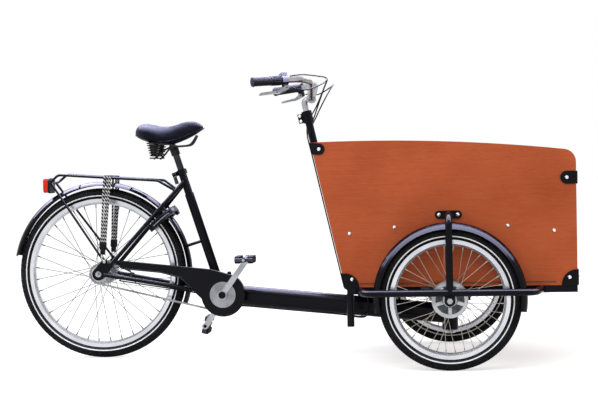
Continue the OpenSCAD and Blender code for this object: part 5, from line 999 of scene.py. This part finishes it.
# Load box: side, front and rear panels, floor and two benches of 12 mm hardwood plywood, stained orange
# brown and varnished. The cut edges show their glued layers.
def plywood(name, colours, thickness_axis, grain_axis):
    """Varnished plywood with long grain on its faces and layers on its cut edges."""
    fibre_w, fibre_l, pore_w, pore_l, cloud_w, layer_t = 0.004, 0.16, 0.0014, 0.022, 0.22, 0.0024
    made, sockets = shaded(name, {"IOR": 1.5, "Specular IOR Level": 0.24, "Coat Weight": 0.01,
                                  "Coat Roughness": 0.3})
    coords = add(made, "TexCoord").outputs
    fibre, pore = [1 / fibre_w] * 3, [1 / pore_w] * 3
    fibre[grain_axis], pore[grain_axis] = 1 / fibre_l, 1 / pore_l
    long = add(made, "Mapping", {"Vector": coords["Object"], "Scale": fibre})
    streak = add(made, "TexNoise", {"Vector": long, "Scale": 1.0, "Detail": 4.0, "Roughness": 0.65})
    short = add(made, "Mapping", {"Vector": coords["Object"], "Scale": pore})
    pores = add(made, "TexNoise", {"Vector": short, "Scale": 1.0, "Detail": 2.0})
    cloud = add(made, "TexNoise", {"Vector": coords["Object"], "Scale": 1 / cloud_w, "Detail": 3.0})
    mixed = add(made, "Math", {0: streak, 1: 0.55, 2: cloud}, operation="MULTIPLY_ADD")
    mixed = add(made, "Math", {0: pores, 1: 0.7, 2: mixed}, operation="MULTIPLY_ADD")
    share = add(made, "MapRange", {0: mixed, 1: 0.8, 2: 1.45})
    face = add(made, "Mix", {0: share, 6: linear(colours[0]), 7: linear(colours[1])}, data_type="RGBA")
    depth = add(made, "SeparateXYZ", {0: coords["Object"]}).outputs[thickness_axis]
    band = add(made, "MapRange", {0: wave(made, depth, 2 * layer_t), 1: -0.3, 2: 0.3})
    cut = add(made, "Mix", {0: band, 6: linear(colours[2]), 7: linear(colours[3])}, data_type="RGBA")
    facing = add(made, "SeparateXYZ", {0: coords["Normal"]}).outputs[thickness_axis]
    flat = add(made, "Math", {0: facing}, operation="ABSOLUTE")
    on_edge = add(made, "MapRange", {0: flat, 1: 0.75, 2: 0.6})
    add(made, "Mix", {0: on_edge, 6: face, 7: cut}, into=sockets["Base Color"], data_type="RGBA")
    add(made, "MapRange", {0: streak, 1: 0.3, 2: 0.7, 3: 0.42, 4: 0.58}, into=sockets["Roughness"])
    add(made, "Bump", {"Height": pores, "Strength": 0.5, "Distance": 0.0002}, into=sockets["Normal"])
    return made


# Stained hardwood ply: warm orange brown, a low satin varnish, fine long fibres with short dark pores.
# The pores are drawn coarser than real so that they show. Colours are of the face and of the layers.
stain = ("#a3461f", "#c15c30", "#73321a", "#b06438")
floor_stain = ("#843818", "#a04b23", "#652c13", "#96552a")
dress(plywood("stained_ply_sides", stain, 1, 0), "box_sides")
dress(plywood("stained_ply_ends", stain, 0, 1), "box_front", "box_rear")
dress(plywood("stained_ply_benches", stain, 2, 1), "benches")
dress(plywood("stained_ply_floor", floor_stain, 2, 0), "box_floor")

# Corner brackets: pressed steel straps round the corners of the box, held by the domed bolts.
# Plastic coating: matt black with a faint grain
bracket_coat = finish(
    "matt_black_coating", ("#09090b", "#111114"), {"IOR": 1.5, "Specular IOR Level": 0.06}, blotch=0.05,
    grain=0.0016, rough=(0.38, 0.5), relief=0.00008)
dress(bracket_coat, "corner_brackets")

# Control mounts and twist sleeve: moulded housings clamped on the bar. The shifter's shell on the right has a
# bluish silver paint, and the bracket of the lever below it stays black.
bar_end, bar_knee = Vector((-0.071982, 0.312, 1.022)), Vector((0.083018, 0.205, 1.034))
to_right = Vector((1, -1, 1))
lever_side, bracket_from, paint_edge = (0.2022, -0.1852, -0.9617), 0.011, 0.0008
part_painted = finish("part_painted_abs", **abs_look)
place = add(part_painted, "TexCoord").outputs["Object"]
from_bar = add(part_painted, "VectorMath", {0: place, 1: bar_end * to_right}, operation="SUBTRACT")
drop = add(part_painted, "VectorMath", {0: from_bar, 1: lever_side}, operation="DOT_PRODUCT")
above = add(part_painted, "MapRange", {0: drop, 1: bracket_from, 2: bracket_from - paint_edge})
leftward = add(part_painted, "SeparateXYZ", {0: place}).outputs[1]
on_right = add(part_painted, "MapRange", {0: leftward, 1: 0.001, 2: -0.001})
painted = add(part_painted, "Math", {0: above, 1: on_right}, operation="MULTIPLY")
overpaint(part_painted, painted, "#a3a6c4")
dress(part_painted, "control_mounts")
dress(moulded_abs, "gear_twist")


# Grips: soft black rubber sleeves pushed on the ends of the bar, ribbed all round so that the hand doesn't
# slip, with a flange at each end. The right one is short, beside the twist sleeve.
def grip(side_name, flip, length):
    """Spins a ribbed sleeve round the end of the bar."""
    inward = ((bar_knee - bar_end) * flip).normalized()
    turn = Matrix.Translation(bar_end * flip) @ inward.to_track_quat("Z", "Y").to_matrix().to_4x4()
    core_r, rib_r, flange_r, lip_r, bar_r = 0.0150, 0.0160, 0.0178, 0.0172, 0.01115
    flange, rib_step = 0.004, 0.0042
    outline = [(0, -0.004), (0.012, -0.004), (0.0165, -0.003), (flange_r, -0.001), (flange_r, 0.002),
               (core_r, flange)]
    for k in range(int((length - 3 * flange) / rib_step)):
        z = flange + 0.001 + k * rib_step
        outline += [(core_r, z), (rib_r, z + 0.0008), (rib_r, z + 0.0024), (core_r, z + 0.0032)]
    outline += [(core_r, length - flange), (lip_r, length - 0.003), (lip_r, length), (bar_r, length),
                (bar_r, 0), (0, 0)]
    bm = bmesh.new()
    revolve(bm, [(r, 0, z) for r, z in outline], (0, 0, 0), (0, 0, 1), 32)
    bmesh.ops.transform(bm, verts=bm.verts, matrix=turn)
    return piece(side_name + "_grip", bm, "front_carriage", [grip_rubber], 40)


# Soft compound rubber: black with a grey bloom, quite matt
grip_rubber = finish(
    "soft_grip_rubber", ("#17171b", "#25252a"), {"IOR": 1.5, "Specular IOR Level": 0.1}, blotch=0.03,
    grain=0.0016, rough=(0.5, 0.66), relief=0.00004)
left_grip = grip("left", Vector((1, 1, 1)), 0.118)
grip("right", to_right, 0.072)
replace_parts(left_grip, "grips")

# Panel light: the long panel draws its band of light on paint, vinyl, rubber and plastic alone, as the bare
# metals and the lens already show the white room.
coats = (powder_coat, gloss_enamel, saddle_vinyl, cable_pvc, moulded_abs, part_painted, grip_rubber,
         bracket_coat, tyre_rubber, pedal_rubber)
coated = bpy.data.collections.new("coated_pieces")
for made in scene.objects:
    if made.type in {"MESH", "CURVE"} and any(slot.material in coats for slot in made.material_slots):
        coated.objects.link(made)
scene.objects["panel_lamp"].light_linking.receiver_collection = coated
